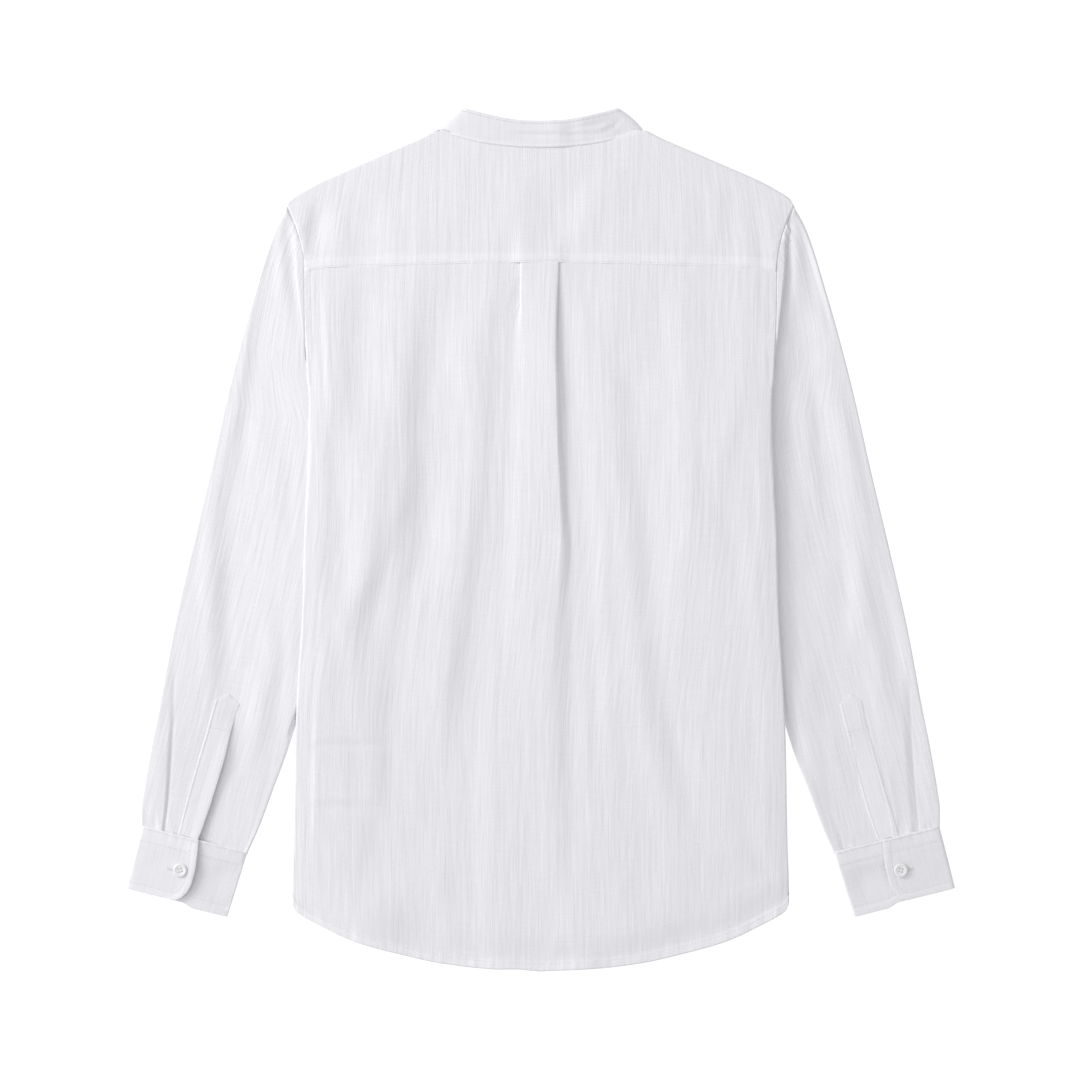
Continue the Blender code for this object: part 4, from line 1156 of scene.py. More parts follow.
def sleeve_relief(x, y, share, side):
    """The soft folds of a sleeve's upper layer, which die out beside the body and at the outer fold."""
    table = LEFT_SLEEVE_FALLS if side < 0 else RIGHT_SLEEVE_FALLS
    edge = body_edge(y)
    soft = falls(table, x, y) * side
    soft += 0.45 * uneven(x * side, y, 26, 2.4) + 0.12 * uneven(x * side, y, 9, 3.0)
    near = mix(4.0, 1.0, ease(y, 150.0, 190.0))
    return soft * ease(x, edge + near, edge + 4 * near) * (1 - ease(share, 0.84, 0.93))


def placket_edges(row_y, side):
    """The free and the stitched edge of a sleeve's placket, as shares of the way out."""
    table = LEFT_PLACKET if side < 0 else RIGHT_PLACKET
    return read(table, "free", row_y), read(table, "stitched", row_y)


def cuff_lap(x, y, row_y, share, side):
    """How far the sleeve drops inside its slit, and steps up outside its pleat, near the cuff."""
    below_tip = ease(-row_y, -PLACKET_TIP + 25, -PLACKET_TIP + 105)
    drop = SLIT_DROP * below_tip * (1 - ease(share, SLIT[0], SLIT[1]))
    pleat_x = read(CUFF_PLEAT, "x", y)
    step = read(CUFF_PLEAT, "depth", y)
    if side > 0:
        trough = 0.9 * ease(x, pleat_x - 7, pleat_x + 1) * (1 - 0.6 * ease(x, pleat_x + 1, pleat_x + 18))
        return -step * (trough + 0.25 * hump(x - pleat_x - 1, 0.9)) - drop
    half = mix(3.4, 0.9, ease(-y, 150.0, 260.0))
    rise = ease(x, pleat_x - half, pleat_x + half) - 0.5
    rise *= 0.8 * (1 - ease(x, pleat_x + 8, pleat_x + 22))
    return step * (rise - 0.3 * hump(x - pleat_x + 1.6, 1.4)) - drop


def along_line(line, part):
    """The point a share of the way along a line of points."""
    lengths = [math.dist(a, b) for a, b in zip(line, line[1:])]
    left = part * sum(lengths)
    for start, end, length in zip(line, line[1:], lengths):
        if left <= length or end is line[-1]:
            return tuple(mix(a, b, min(left / length, 1.0)) for a, b in zip(start, end))
        left -= length


def sleeve_head(side):
    """The sleeve's first row, along the yoke's armhole edge and on down the front's."""
    edge = [(x * side, y, z) for x, y, z in yoke_column(1.0, side)]
    rise = edge[: len(RISE_PARTS)]
    turn = edge[len(RISE_PARTS) : len(RISE_PARTS) + len(TURN_ANGLES)]
    under = edge[len(RISE_PARTS) + len(TURN_ANGLES) :]
    for corner_y in (FRONT_CORNER[1], SEAM_CORNER):
        under.append((front_edge(corner_y), corner_y, FLOOR))
    ring = [along_line(rise, share / TOP_SHARES[-1] * 0.995) for share in TOP_SHARES]
    ring += turn
    count = len(UNDER_SHARES)
    ring += [along_line(under, number / count) for number in range(count + 1)]
    tucked = []
    for number, (x, y, z) in enumerate(ring):
        inside = 1 - ease(number / len(TOP_SHARES), 0.8, 1.0)
        tucked.append(((x - TUCKED * inside) * side, y, z - TUCKED_DROP * inside))
    return tucked


def sleeve_row(row_y, side):
    """One ring of a sleeve: its upper layer from the inner end, its outer fold, then its lower layer."""
    (inner_x, inner_y), (outer_x, outer_y) = sleeve_ends(row_y)
    in_armhole = row_y > UNDERARM
    end_level = LEFT_EDGE_LEVEL if side < 0 else RIGHT_EDGE_LEVEL
    end_level = mix(end_level, OVERLAP_LEVEL, ease(-row_y, 200.0, 280.0))
    edge_x = outer_x - PLY / 2
    start_x = under_x = inner_x
    start_z = 0.0
    if in_armhole:
        x, z, out_x, out_z = edge_path(row_y, 1.0)
        rolled = ease(read(BACK_EDGE, "roll", row_y), 0.2, 0.95)
        aside = (SEAM_GAP + 0.9 * (1 - ease(row_y, 180.0, 205.0))) * (1 - rolled)
        start_x = x + aside + out_x * (STEP + 0.05) * rolled - TUCKED * (1 - rolled)
        start_z = z + out_z * (STEP + 0.05) * rolled - TUCKED_DROP * (1 - rolled)
        under_x = front_edge(row_y) + SEAM_GAP
    bow = ARMHOLE_BOW * ease(row_y, 200.0, SEAM_CORNER)

    def across_y(x, from_x):
        return mix(inner_y, outer_y, min(max((x - from_x) / (outer_x - from_x), 0.0), 1.0))

    points = []
    inner_top = 0.0
    for number, share in enumerate(TOP_SHARES):
        part = share / TOP_SHARES[-1]
        x = mix(start_x, edge_x - OUTER_ROLL, part)
        y = across_y(x, start_x)
        x -= bow * 4 * part * (1 - part)
        level = sleeve_level(x, y, row_y, side)
        level = mix(level, end_level, ease(share, 0.15, 0.93) if side < 0 else ease(share, 0.4, 0.96))
        level += cuff_lap(x, y, row_y, share, side) + sleeve_relief(x, y, share, side)
        level += 3.0 * puckers(row_y - SLEEVE_END, x * side, 13.0)
        if in_armhole:
            shelf = max(read(SHELF, "edge", y) - 0.3 - 2.2 * (1 - ease(y, 150.0, 172.0)), start_x)
            fall = 1 - ease(x, shelf, shelf + 0.6)
            emerged = TUCKED_DROP * (1 - rolled) * ease(x, start_x + TUCKED, start_x + TUCKED + 1.2)
            level = mix(level, start_z + emerged, fall) if number else start_z
        else:
            settle = mix(BENEATH_BODY, CUFF_LEVEL, ease(-row_y, 165.0, 240.0))
            if side < 0:
                settle = mix(settle, level, ease(-row_y, 172.0, 190.0) * (1 - ease(-row_y, 250.0, 285.0)))
            level = mix(settle, level, ease(x, inner_x + 1, inner_x + (5 if side < 0 else 16)))
        level = max(level, LOWEST_SLEEVE)
        if number == 0:
            inner_top = level
        points.append([x, y, level])
    if not in_armhole:
        fold_x = inner_x + CLOTH / 2
        middle = (inner_top + FLOOR) / 2
        for number, angle in enumerate((0.0, 22.5, 45.0, 67.5, 90.0)):
            turn = math.radians(angle)
            x = fold_x + INNER_ROLL * (1 - math.cos(turn))
            points[number] = [x, inner_y, mix(middle, inner_top, math.sin(turn))]
    top = points[-1][2]
    ring = [tuple(point) for point in points]
    for angle in TURN_ANGLES:
        turn = math.radians(angle)
        x = edge_x - OUTER_ROLL + OUTER_ROLL * math.sin(turn)
        ring.append((x, across_y(x, start_x), mix(FLOOR, top, 0.5 + 0.5 * math.cos(turn))))
    for share in UNDER_SHARES:
        part = share / TOP_SHARES[-1]
        x = mix(under_x, edge_x - OUTER_ROLL, part)
        ring.append((x, across_y(x, under_x), FLOOR))
    if in_armhole:
        ring.append((under_x, inner_y, FLOOR))
    else:
        ring[-2] = (fold_x + INNER_ROLL, inner_y, FLOOR)
        ring[-1] = (fold_x + INNER_ROLL * 0.3, inner_y, mix(middle, FLOOR, 0.72))
        ring.append(ring[0])
    return [(x * side, y, z) for x, y, z in ring]


def sleeve(side, name, weave):
    """A sleeve, in rings from its head down to the cuff, slit up from the cuff."""
    row_ys = spaced(SEAM_CORNER, PLACKET_TIP, SLEEVE_ROW) + spaced(PLACKET_TIP, SLEEVE_END, SLIT_ROW)[1:]
    tip = sum(row_y > SLIT_TIP for row_y in row_ys)
    row_ys += [SLEEVE_END - 0.8, SLEEVE_END - 1.6]
    rows = [sleeve_head(side)] + [sleeve_row(row_y, side) for row_y in row_ys[1:]]
    first = TOP_SHARES.index(SLIT[0])
    last = TOP_SHARES.index(SLIT[1])

    def outside_slit(row, column):
        return row < tip or not first <= column < last

    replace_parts(cloth(f"arm_{name}", rows, weave, PLY, outside_slit), f"sleeve_{name}")


def sleeve_top(ring, share):
    """The height of a sleeve row's upper layer, a share of the way out."""
    for number, (low, high) in enumerate(zip(TOP_SHARES, TOP_SHARES[1:])):
        if share <= high:
            return mix(ring[number][2], ring[number + 1][2], (share - low) / (high - low))
    return ring[len(TOP_SHARES) - 1][2]


def sleeve_placket(side, name, weave):
    """The pointed strip over the sleeve's slit, lifted off the sleeve's own points."""
    rows = []
    for row_y in spaced(-158.2, -165.0, 0.8) + spaced(-165.0, -291.8, SLIT_ROW)[1:]:
        free, stitched = placket_edges(row_y, side)
        beneath = sleeve_row(row_y, side)
        tip = min((-158.0 - row_y) / 7.0, 1.0)
        free, stitched = mix(0.52, free, tip), mix(0.521, stitched, tip)
        row = []
        for part in STRIP_PARTS:
            share = mix(free, stitched, part)
            x, y = across_sleeve(row_y, share)
            inside = min(part, 1 - part)
            edge = 0.25 * (1 - ease(inside, 0.0, 0.05)) - 0.12 * ease(inside, 0.0, 0.06)
            edge += 0.2 * hump(inside - 0.12, 0.04)
            soft = 0.18 * uneven(x * side, y, 9, 0.8)
            probe = 0.941 * share
            probe = mix(probe, max(probe, SLIT[1] + 0.006), ease(-row_y, 172.0, 190.0))
            lift = PLACKET_CURL * (1 - ease(part, 0.0, 0.5)) if side < 0 else PLACKET_TILT * (part - 1)
            level = sleeve_top(beneath, probe) + PLACKET_STEP + lift * ease(-row_y, 176.0, 220.0)
            row.append((x * side, y, level - edge + soft))
        rows.append(row)
    piece = cloth(f"arm_placket_{name}", rows, weave, PLY)
    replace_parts(piece, f"sleeve_placket_{name}")
    return piece


def cuff_point(along, down, level, side):
    """The point a distance along a cuff from its outer end and down from its sleeve seam, in mm."""
    x = CUFF_TOP[0] + CUFF_ALONG[0] * along + CUFF_DOWN[0] * down
    y = CUFF_TOP[1] + CUFF_ALONG[1] * along + CUFF_DOWN[1] * down
    return x * side, y, level


def sagging(along, down):
    """The cuff's distance down, a little more where its under end hangs past the rounded one."""
    return down + UNDERLAP_SAG * max(down, 0.0) / 60 * ease(along, 54.0, 66.0)


def cuff_relief(along, down, end, side):
    """The cuff's stitched edges: the cloth is thickest inside them, and gathered along the sleeve seam."""
    inside = min(end - along, 60.0 - down)
    edge = -0.35 * (1 - ease(inside, 0.0, 1.6)) + 0.16 * (1 - ease(inside, 6.5, 8.5))
    edge -= 0.3 * hump(inside - 7.0, 0.8)
    seam = -0.26 * hump(down - 13.0, 0.9) + 0.14 * (1 - ease(down, 11.0, 13.5))
    seam += 0.4 * hump(down - 0.7, 0.8)
    return edge + seam + 1.4 * puckers(down, along, 9.0) + 0.22 * uneven(along * side, down, 17, 0.8)


def cuff(side, name, weave):
    """A strip wound round the wrist: its rounded end on top, round the outer fold, beneath, and back."""
    half = CUFF_CLOTH / 2
    outer_round = (OVERLAP_LEVEL - BAND_FLOOR) / 2
    inner_round = (CUFF_LEVEL - BAND_FLOOR) / 2
    rows = []
    downs = [-0.6, -0.45, -0.2, 0.2, 0.7, 1.2, 1.8] + spaced(3.0, 48.0, 2.0) + spaced(49.0, 58.6, 1.0)
    for down in downs + [59.0, 59.25, 59.4]:
        narrow = 1 - 0.035 * down / 60
        end = read(CUFF_END, "along", down)
        start = half + outer_round
        row = []
        for part in [0.0, 0.003, 0.008, 0.016] + spaced(0.03, 1.0, 0.03):
            along = mix(end, start, part)
            level = OVERLAP_LEVEL + cuff_relief(along, down, end, side)
            if side < 0:
                level += 1.2 * (1 - part) + 0.9 * (1 - ease(end - along, 0.0, 11.0)) * ease(down, 0.0, 8.0)
            row.append(cuff_point(along, down, level, side))
        for angle in spaced(15.0, 165.0, 15.0):
            turn = math.radians(angle)
            along = half + outer_round * (1 - math.sin(turn))
            level = mix(BAND_FLOOR, OVERLAP_LEVEL, 0.5 + 0.5 * math.cos(turn))
            row.append(cuff_point(along, down, level, side))
        stop = CUFF_WIDTH * narrow - half - inner_round
        for part in spaced(0.0, 1.0, 0.06):
            along = mix(start, stop, part)
            row.append(cuff_point(along, sagging(along, down), BAND_FLOOR, side))
        tilt = UNDERLAP_TILT if side < 0 else 0.0
        for angle in spaced(160.0, 20.0, 20.0):
            turn = math.radians(angle)
            along = stop + inner_round * math.sin(turn)
            level = mix(BAND_FLOOR, CUFF_LEVEL - 0.65 * tilt, 0.5 + 0.5 * math.cos(turn))
            row.append(cuff_point(along, sagging(along, down), level, side))
        for part in spaced(0.0, 1.0, 0.045):
            along = mix(stop, UNDERLAP_END, part)
            level = CUFF_LEVEL + cuff_relief(along, down, CUFF_WIDTH + 20, side)
            level += tilt * (min(part / 0.75, 1.0) - 0.65)
            level -= 1.5 * ease(part, 0.0, 0.3) * ease(down, 14.0, 27.0) * (1 - ease(down, 28.0, 56.0))
            row.append(cuff_point(along, sagging(along, down), level, side))
        rows.append(row)

    def edged(x, y):
        down = (abs(x) - CUFF_TOP[0]) * CUFF_DOWN[0] + (y - CUFF_TOP[1]) * CUFF_DOWN[1]
        return 1 - 0.5 * ease(down, 1.2, 2.2) - 0.5 * ease(down, 12.0, 13.5) + 0.5 * ease(down, 52.0, 53.5)

    piece = cloth(f"wrist_{name}", rows, weave, BAND_PLY, double_and_highlight_mask=edged)
    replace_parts(piece, f"cuff_{name}")
    return piece


def bead(shape, place, lie, half_sizes):
    """Adds a bead of thread to a bmesh, lying as a rotation says, with its half sizes in mm."""
    size = Matrix.Diagonal([half * MM for half in half_sizes]).to_4x4()
    matrix = Matrix.Translation(place) @ lie @ size
    bmesh.ops.create_icosphere(shape, subdivisions=1, radius=1, matrix=matrix)


class Surface:
    """The highest cloth at a place, read from finished pieces."""

    def __init__(self, *pieces):
        graph = bpy.context.evaluated_depsgraph_get()
        self.trees = [BVHTree.FromObject(piece, graph) for piece in pieces]

    def at(self, x, y):
        """The place, the normal and how far down it is, or None where there is no cloth."""
        start = Vector((x * MM, y * MM, 0.05))
        best = None
        for tree in self.trees:
            place, normal, _, reach = tree.ray_cast(start, Vector((0, 0, -1)), 0.1)
            if place and (best is None or reach < best[2]):
                best = place, normal, reach
        return best


def walk(line, pitch):
    """Places a pitch apart along a line of (x, y) points, each with its direction."""
    left = pitch / 2
    for a, b in zip(line, line[1:]):
        run = math.dist(a, b)
        while left <= run:
            t = left / run
            yield mix(a[0], b[0], t), mix(a[1], b[1], t), math.atan2(b[1] - a[1], b[0] - a[0])
            left += pitch
        left -= run


def stitches(name, lines, surface, thread, pitch=2.3, reach=1.75, thick=THREAD):
    """Rows of short stitches that lie on the cloth, each a little bead of thread."""
    shape = bmesh.new()
    for line in lines:
        for x, y, turn in walk(line, pitch):
            found = surface.at(x, y)
            if found is None:
                continue
            place, normal, _ = found
            lie = normal.to_track_quat("Z", "Y").to_matrix().to_4x4()
            ahead = Vector((math.cos(turn), math.sin(turn), 0))
            local = lie.inverted() @ (ahead - normal * normal.dot(ahead))
            spin = Matrix.Rotation(math.atan2(local.y, local.x), 4, "Z")
            bead(shape, place + normal * STITCH_RISE * MM, lie @ spin, (reach / 2, thick / 2, thick / 2))
    finished(name, shape, thread)


def buttonhole(name, centre, turn, length, surface, thread):
    """A worked buttonhole: two close rows of zigzag thread round a slit."""
    ahead = Vector((math.cos(turn), math.sin(turn))) * length / 2
    across = ahead.orthogonal().normalized() * ZIGZAG_APART
    shape = bmesh.new()
    for away in (-across, across):
        line = [tuple(Vector(centre) - ahead + away), tuple(Vector(centre) + ahead + away)]
        for x, y, heading in walk(line, ZIGZAG_PITCH):
            found = surface.at(x, y)
            if found is None:
                continue
            spin = Matrix.Rotation(heading + math.pi / 2, 4, "Z")
            bead(shape, found[0] + Vector((0, 0, ZIGZAG_RISE * MM)), spin, ZIGZAG_BEAD)
    finished(name, shape, thread)


def turned(shape, profile, steps, matrix):
    """Adds a solid of revolution to a bmesh. Its profile runs down the outside, from the axis to the axis."""
    rings = []
    for step, (out, up) in enumerate(profile):
        on_axis = step in (0, len(profile) - 1)
        angles = [math.tau * side / steps for side in range(1 if on_axis else steps)]
        places = [Vector((out * math.cos(angle), out * math.sin(angle), up)) for angle in angles]
        rings.append([shape.verts.new(matrix @ place) for place in places])
    for upper, lower in zip(rings, rings[1:]):
        for side in range(steps):
            after = (side + 1) % steps
            down = [upper[side % len(upper)], lower[side % len(lower)]]
            back = [lower[after % len(lower)], upper[after % len(upper)]]
            shape.faces.new(list(dict.fromkeys(down + back)))


def dished_button(name, node, plastic, thread, above=True):
    """A button with a raised rim, a dished middle, four holes and its thread, in the place of its node."""
    low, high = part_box(node)
    middle = (low + high) / 2
    tall = high.z - low.z
    radius = (high.x - low.x) / 2
    shape = bmesh.new()
    turned(shape, [(out * radius, up * tall) for out, up in BUTTON_PROFILE], 40, Matrix())
    holes = bmesh.new()
    for x in (-1, 1):
        for y in (-1, 1):
            bmesh.ops.create_cone(
                holes,
                cap_ends=True,
                segments=12,
                radius1=HOLE_RADIUS * MM,
                radius2=HOLE_RADIUS * MM,
                depth=0.02,
                matrix=Matrix.Translation((x * HOLE_PLACE * MM, y * HOLE_PLACE * MM, 0)),
            )
    seat = Matrix.Translation((middle.x, middle.y, low.z if above else high.z))
    if not above:
        seat = seat @ Matrix.Rotation(math.pi, 4, "X")
    seat = seat @ Matrix.Rotation(BUTTON_TURN if middle.x < 0 else -BUTTON_TURN, 4, "Z")
    for part in (shape, holes):
        part.transform(seat)
    piece = finished(name, shape, plastic)
    cutter = finished(name + "_holes", holes, plastic)
    cut = piece.modifiers.new("holes", "BOOLEAN")
    cut.operation = "DIFFERENCE"
    cut.solver = "EXACT"
    cut.object = cutter
    graph = bpy.context.evaluated_depsgraph_get()
    drilled = bpy.data.meshes.new_from_object(piece.evaluated_get(graph))
    piece.modifiers.clear()
    piece.data = drilled
    bpy.data.objects.remove(cutter)
    bevel = piece.modifiers.new("edges", "BEVEL")
    bevel.width = 0.12 * MM
    bevel.segments = 2
    bevel.limit_method = "ANGLE"
    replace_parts(piece, node)
    ties = bmesh.new()
    for y in (-1, 1):
        for strand in (-0.28, 0.28):
            place = Matrix.Translation((0, (y * HOLE_PLACE + strand) * MM, tall * 0.66))
            size = Matrix.Diagonal([half * MM for half in STRAND]).to_4x4()
            turned(ties, STRAND_PROFILE, 8, seat @ place @ size)
    finished(name + "_thread", ties, thread)


def principled(name, roughness, sheen=0.0):
    material = bpy.data.materials.new(name)
    material.use_nodes = True
    shader = material.node_tree.nodes["Principled BSDF"]
    shader.inputs["Roughness"].default_value = roughness
    shader.inputs["Sheen Weight"].default_value = sheen
    shader.inputs["Sheen Roughness"].default_value = 0.5
    return material, material.node_tree, shader


def streaks(tree, source, scale, detail, low, high):
    """Noise drawn out along one thread direction, as brightness between two values."""
    stretch = tree.nodes.new("ShaderNodeMapping")
    stretch.inputs["Scale"].default_value = scale
    yarn = tree.nodes.new("ShaderNodeTexNoise")
    yarn.inputs["Scale"].default_value = 1.0
    yarn.inputs["Detail"].default_value = detail
    yarn.inputs["Roughness"].default_value = 0.6
    level = tree.nodes.new("ShaderNodeMapRange")
    level.inputs["From Min"].default_value = 0.25
    level.inputs["From Max"].default_value = 0.75
    level.inputs["To Min"].default_value = low
    level.inputs["To Max"].default_value = high
    tree.links.new(source, stretch.inputs["Vector"])
    tree.links.new(stretch.outputs["Vector"], yarn.inputs["Vector"])
    tree.links.new(yarn.outputs["Fac"], level.inputs["Value"])
    return level.outputs["Result"]


def bumped(tree, height, strength, distance, over=None):
    """The normal of a bump, laid over another's where one is given."""
    bump = tree.nodes.new("ShaderNodeBump")
    bump.inputs["Strength"].default_value = strength
    bump.inputs["Distance"].default_value = distance
    tree.links.new(height, bump.inputs["Height"])
    if over:
        tree.links.new(over, bump.inputs["Normal"])
    return bump.outputs["Normal"]


def tinted(tree, shader, blend, values):
    """Mixes the shader's colour from a factor and two colours, each a value or a node's output."""
    tint = tree.nodes.new("ShaderNodeMix")
    tint.data_type = "RGBA"
    tint.blend_type = blend
    for name, value in values.items():
        if isinstance(value, bpy.types.NodeSocket):
            tree.links.new(value, tint.inputs[name])
        else:
            tint.inputs[name].default_value = value
    tree.links.new(tint.outputs["Result"], shader.inputs["Base Color"])


def combined(tree, operation, a, b):
    node = tree.nodes.new("ShaderNodeMath")
    node.operation = operation
    for socket, value in zip(node.inputs, (a, b)):
        if isinstance(value, float):
            socket.default_value = value
        else:
            tree.links.new(value, socket)
    return node.outputs[0]


def linen(name, colour, tone=1.0, strength=1.0):
    """Plain-woven linen: warp and weft threads, thick slubs along both, and a soft unevenness of tone."""
    material, tree, shader = principled(name, 0.92, 0.12)
    pattern = tree.nodes.new("ShaderNodeUVMap")
    pattern.uv_map = "cut"
    cut = pattern.outputs["UV"]
    total = height = None
    for scale, detail, share, rise in YARNS:
        layer = streaks(tree, cut, scale, detail, -1.0, 1.0)
        shade = combined(tree, "MULTIPLY", layer, share * strength)
        total = combined(tree, "ADD", total, shade) if total else shade
        if rise:
            layer = combined(tree, "MULTIPLY", layer, rise)
            height = combined(tree, "ADD", height, layer) if height else layer
    # Lighter where the cloth lies double; on the collar band this is a painted highlight along the seam's
    # bead.
    double_and_highlight = tree.nodes.new("ShaderNodeAttribute")
    double_and_highlight.attribute_name = "double_and_highlight"
    total = combined(tree, "ADD", total, combined(tree, "MULTIPLY", double_and_highlight.outputs["Fac"], DOUBLE_AND_HIGHLIGHT_TONE))
    total = combined(tree, "ADD", total, tone)
    tinted(tree, shader, "MULTIPLY", {"Factor": 1.0, "A": colour, "B": total})
    folds = streaks(tree, cut, FINE_FOLDS, 2.0, 0.0, 1.0)
    crumple = bumped(tree, folds, strength * strength, CRUMPLE)
    tree.links.new(bumped(tree, height, 0.35, WEAVE_DEPTH, crumple), shader.inputs["Normal"])
    return material


def sewing_thread():
    material, tree, shader = principled("sewing_thread", 0.7, 0.1)
    # Painted shade: the thread's grey stands in for the shade in and beside each stitch.
    shader.inputs["Base Color"].default_value = SHADED_THREAD_COLOUR
    place = tree.nodes.new("ShaderNodeTexCoord").outputs["Object"]
    twist = streaks(tree, place, THREAD_TWIST, 1.0, 0.0, 1.0)
    tree.links.new(bumped(tree, twist, 0.3, TWIST_DEPTH), shader.inputs["Normal"])
    return material


def button_plastic():
    """White resin, faintly cloudy and softly glossy."""
    material, tree, shader = principled("button_resin", 0.28)
    place = tree.nodes.new("ShaderNodeTexCoord").outputs["Object"]
    cloud = streaks(tree, place, RESIN_CLOUD, 3.0, 0.0, 1.0)
    tinted(tree, shader, "MIX", {"Factor": cloud, "A": RESIN_COLOURS[0], "B": RESIN_COLOURS[1]})
    return material


def studio():
    """A white table, soft light from all round with a key from the upper left, and the camera overhead."""
    shape = bmesh.new()
    below = Matrix.Translation((0, 0, -TABLE_BELOW))
    bmesh.ops.create_grid(shape, x_segments=1, y_segments=1, size=4, matrix=below)
    mesh = bpy.data.meshes.new("table")
    shape.to_mesh(mesh)
    shape.free()
    material, _, shader = principled("table_white", 0.9)
    shader.inputs["Base Color"].default_value = (0.1, 0.1, 0.1, 1.0)
    shader.inputs["Emission Color"].default_value = (1.0, 1.0, 1.0, 1.0)
    shader.inputs["Emission Strength"].default_value = TABLE_GLOW
    mesh.materials.append(material)
    placed("table", mesh)

    world = bpy.data.worlds.new("soft_room")
    world.use_nodes = True
    room = world.node_tree
    room.nodes["Background"].inputs["Color"].default_value = (1.0, 1.0, 1.0, 1.0)
    room.nodes["Background"].inputs["Strength"].default_value = ROOM_LIGHT
    bpy.context.scene.world = world

    key = bpy.data.lights.new("key", "AREA")
    key.energy = KEY_LIGHT
    key.size = KEY_SIZE
    lamp = placed("key", key)
    lamp.location = KEY_PLACE
    lamp.rotation_euler = Vector(KEY_PLACE).to_track_quat("Z", "Y").to_euler()
    wash = bpy.data.lights.new("wash", "SUN")
    wash.energy = WASH_LIGHT
    wash.angle = math.radians(WASH_ANGLE)
    placed("wash", wash).rotation_euler = Vector(WASH_SIDE).to_track_quat("Z", "Y").to_euler()

    lens = bpy.data.cameras.new("overhead")
    lens.sensor_width = 36.0
    lens.lens = 36.0 * CAMERA_HEIGHT / VIEW_WIDTH
    camera = placed("overhead", lens)
    camera.location = (VIEW_CENTRE[0] * MM, VIEW_CENTRE[1] * MM, CAMERA_HEIGHT + VIEW_PLANE)
    bpy.context.scene.camera = camera
    bpy.context.scene.view_settings.view_transform = "Standard"


def offset_line(line, away):
    """A line of (x, y) points moved sideways, to its left."""
    moved = []
    for index, (x, y) in enumerate(line):
        ahead = line[min(index + 1, len(line) - 1)]
        behind = line[max(index - 1, 0)]
        run = math.dist(ahead, behind) or 1.0
        moved.append((x - (ahead[1] - behind[1]) / run * away, y + (ahead[0] - behind[0]) / run * away))
    return moved


def armhole_line(side):
    """The visible armhole seam from the shoulder tip down, as the body's edge."""
    upper = [point[:2] for point in yoke_column(1.0, side)[: len(RISE_PARTS)]][::-1]
    lower = [(read(BODY_SIDE, "edge", y) * side, y) for y in spaced(250.0, 150.0, 5.0)]
    return upper + lower


def seam_stitches(thread, back, yoke_piece, band):
    """Every row of stitches on the cloth that shows, laid on the finished pieces."""
    body = Surface(back, yoke_piece)
    seam = [(x, read(YOKE_SEAM, "y", abs(x)) + YOKE_STITCH) for x in spaced(-216.0, 216.0, 4.0)]
    stitches("yoke_stitches", [seam], body, thread)
    hem = [(x, read(BACK_HEM, "y", abs(x)) + HEM_STITCH) for x in spaced(-228.0, 228.0, 3.0)]
    stitches("hem_stitches", [hem], Surface(back), thread, pitch=2.6)
    band_lines = []
    for up in (0.0, 0.9):
        line = [band_point(place, up)[:2] for place in spaced(0.0, 5.8, 0.05)]
        band_lines.append([(-x, y) for x, y in reversed(line[1:])] + line)
    stitches("neck_stitches", band_lines, Surface(band), thread, pitch=2.2, reach=1.8, thick=0.9)
    for side, name in ((-1, "left"), (1, "right")):
        line = offset_line(armhole_line(side), ARMHOLE_STITCH * side)
        stitches(f"armhole_stitches_{name}", [line], body, thread)


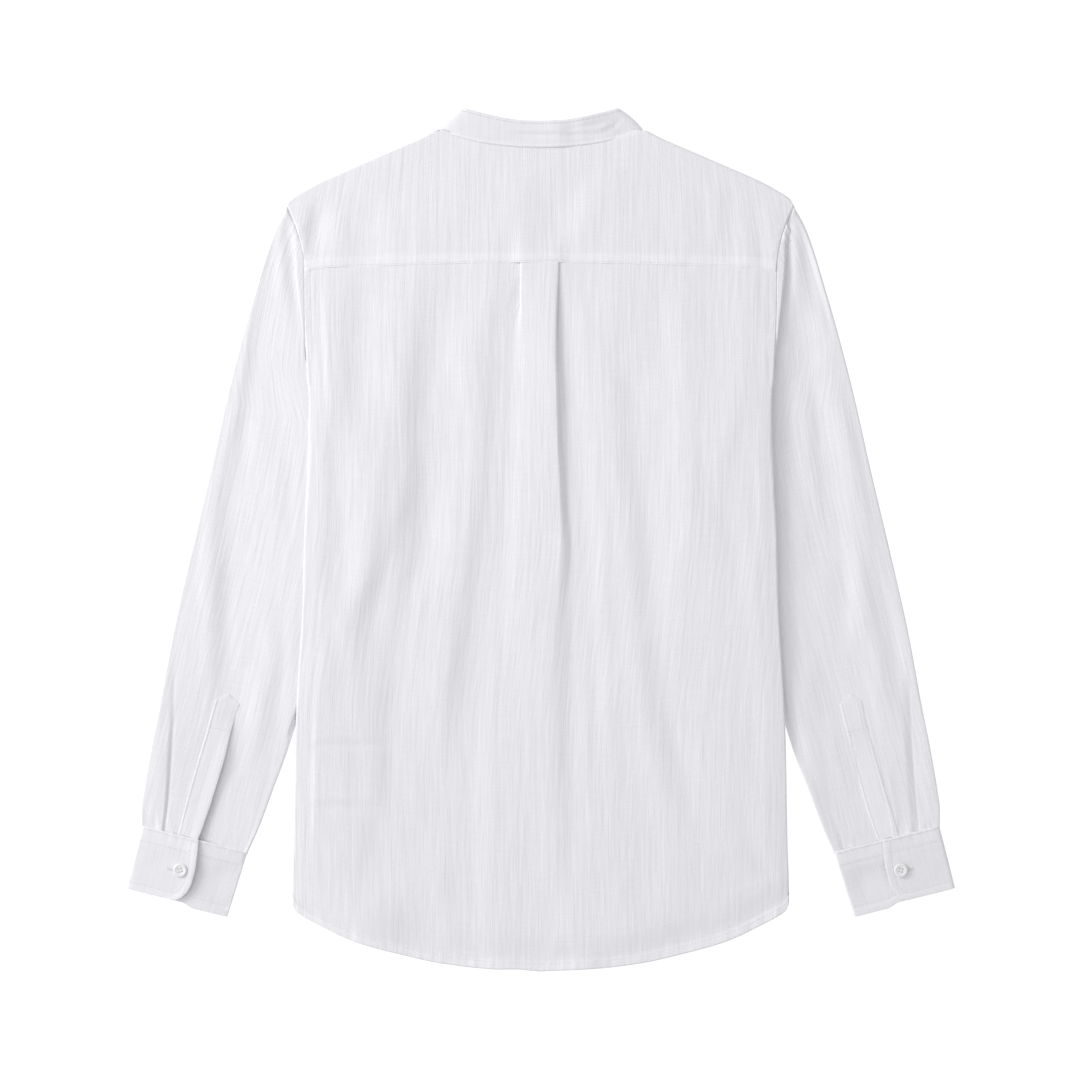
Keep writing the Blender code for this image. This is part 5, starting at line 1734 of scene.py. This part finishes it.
def cuff_stitches(side, name, cuff_piece, placket, thread):
    """The rows of stitches on a cuff and on the placket above it, and the buttonhole."""
    surface = Surface(cuff_piece)

    def row(down, start, stop):
        return [cuff_point(along, down, 0, side)[:2] for along in spaced(start, stop, 2.0)]

    end = []
    for down in spaced(2.0, CUFF_LOW_STITCH, 2.0):
        inset = 7.0 + max(0.0, down - 46.0) * 0.35
        end.append(cuff_point(read(CUFF_END, "along", down) - inset, down, 0, side)[:2])
    rows = [row(CUFF_TOP_STITCH, 3.0, 50.0), row(CUFF_TOP_STITCH, 60.0, 98.0)]
    rows += [end + row(CUFF_LOW_STITCH, 47.0, 3.0)[1:], row(CUFF_LOW_STITCH, 62.0, 97.0)]
    rows += [row(CUFF_SEAM_STITCH, 2.0, 54.0), row(CUFF_SEAM_STITCH, 58.0, 100.0)]
    stitches(f"cuff_stitches_{name}", rows, surface, thread)

    def placket_place(row_y, share):
        x, y = across_sleeve(row_y, share)
        return x * side, y

    rows = []
    for edge, inset in ((0, 0.018), (1, -0.014)):
        row_ys = spaced(-166.0, -289.0, 4.0)
        rows.append([placket_place(row_y, placket_edges(row_y, side)[edge] + inset) for row_y in row_ys])
    rows.append([placket_place(CROSS_STITCH, share) for share in placket_edges(CROSS_STITCH, side)])
    stitches(f"arm_placket_stitches_{name}", rows, Surface(placket), thread)
    along, down = (button + away for button, away in zip(CUFF_BUTTON, BUTTONHOLE_PLACE))
    turn = math.atan2(CUFF_ALONG[1], CUFF_ALONG[0] * side)
    centre = cuff_point(along, down, 0, side)[:2]
    buttonhole(f"buttonhole_{name}", centre, turn, BUTTONHOLE_LENGTH, surface, thread)


def main():
    studio()
    body_linen = linen("body_linen", LINEN)
    sleeve_linen = linen("sleeve_linen", LINEN, 0.998)
    # Painted shade: the linen of the collar band, plackets and cuffs is a copy of the body's, painted 1.5%
    # darker.
    shaded_trim_linen = linen("shaded_trim_linen", LINEN, 0.985, 0.55)
    thread = sewing_thread()
    resin = button_plastic()
    back = back_panel(body_linen)
    yoke_piece = yoke(body_linen)
    front_panel(body_linen)
    front_placket(shaded_trim_linen)
    band = collar_band(shaded_trim_linen)
    for side, name in ((-1, "left"), (1, "right")):
        sleeve(side, name, sleeve_linen)
        strip = sleeve_placket(side, name, shaded_trim_linen)
        wrist = cuff(side, name, shaded_trim_linen)
        cuff_stitches(side, name, wrist, strip, thread)
        dished_button(f"wrist_button_{name}", f"cuff_button_{name}", resin, thread)
    seam_stitches(thread, back, yoke_piece, band)
    for number in (1, 2, 3):
        dished_button(f"placket_button_{number}", f"front_button_{number}", resin, thread, above=False)


main()
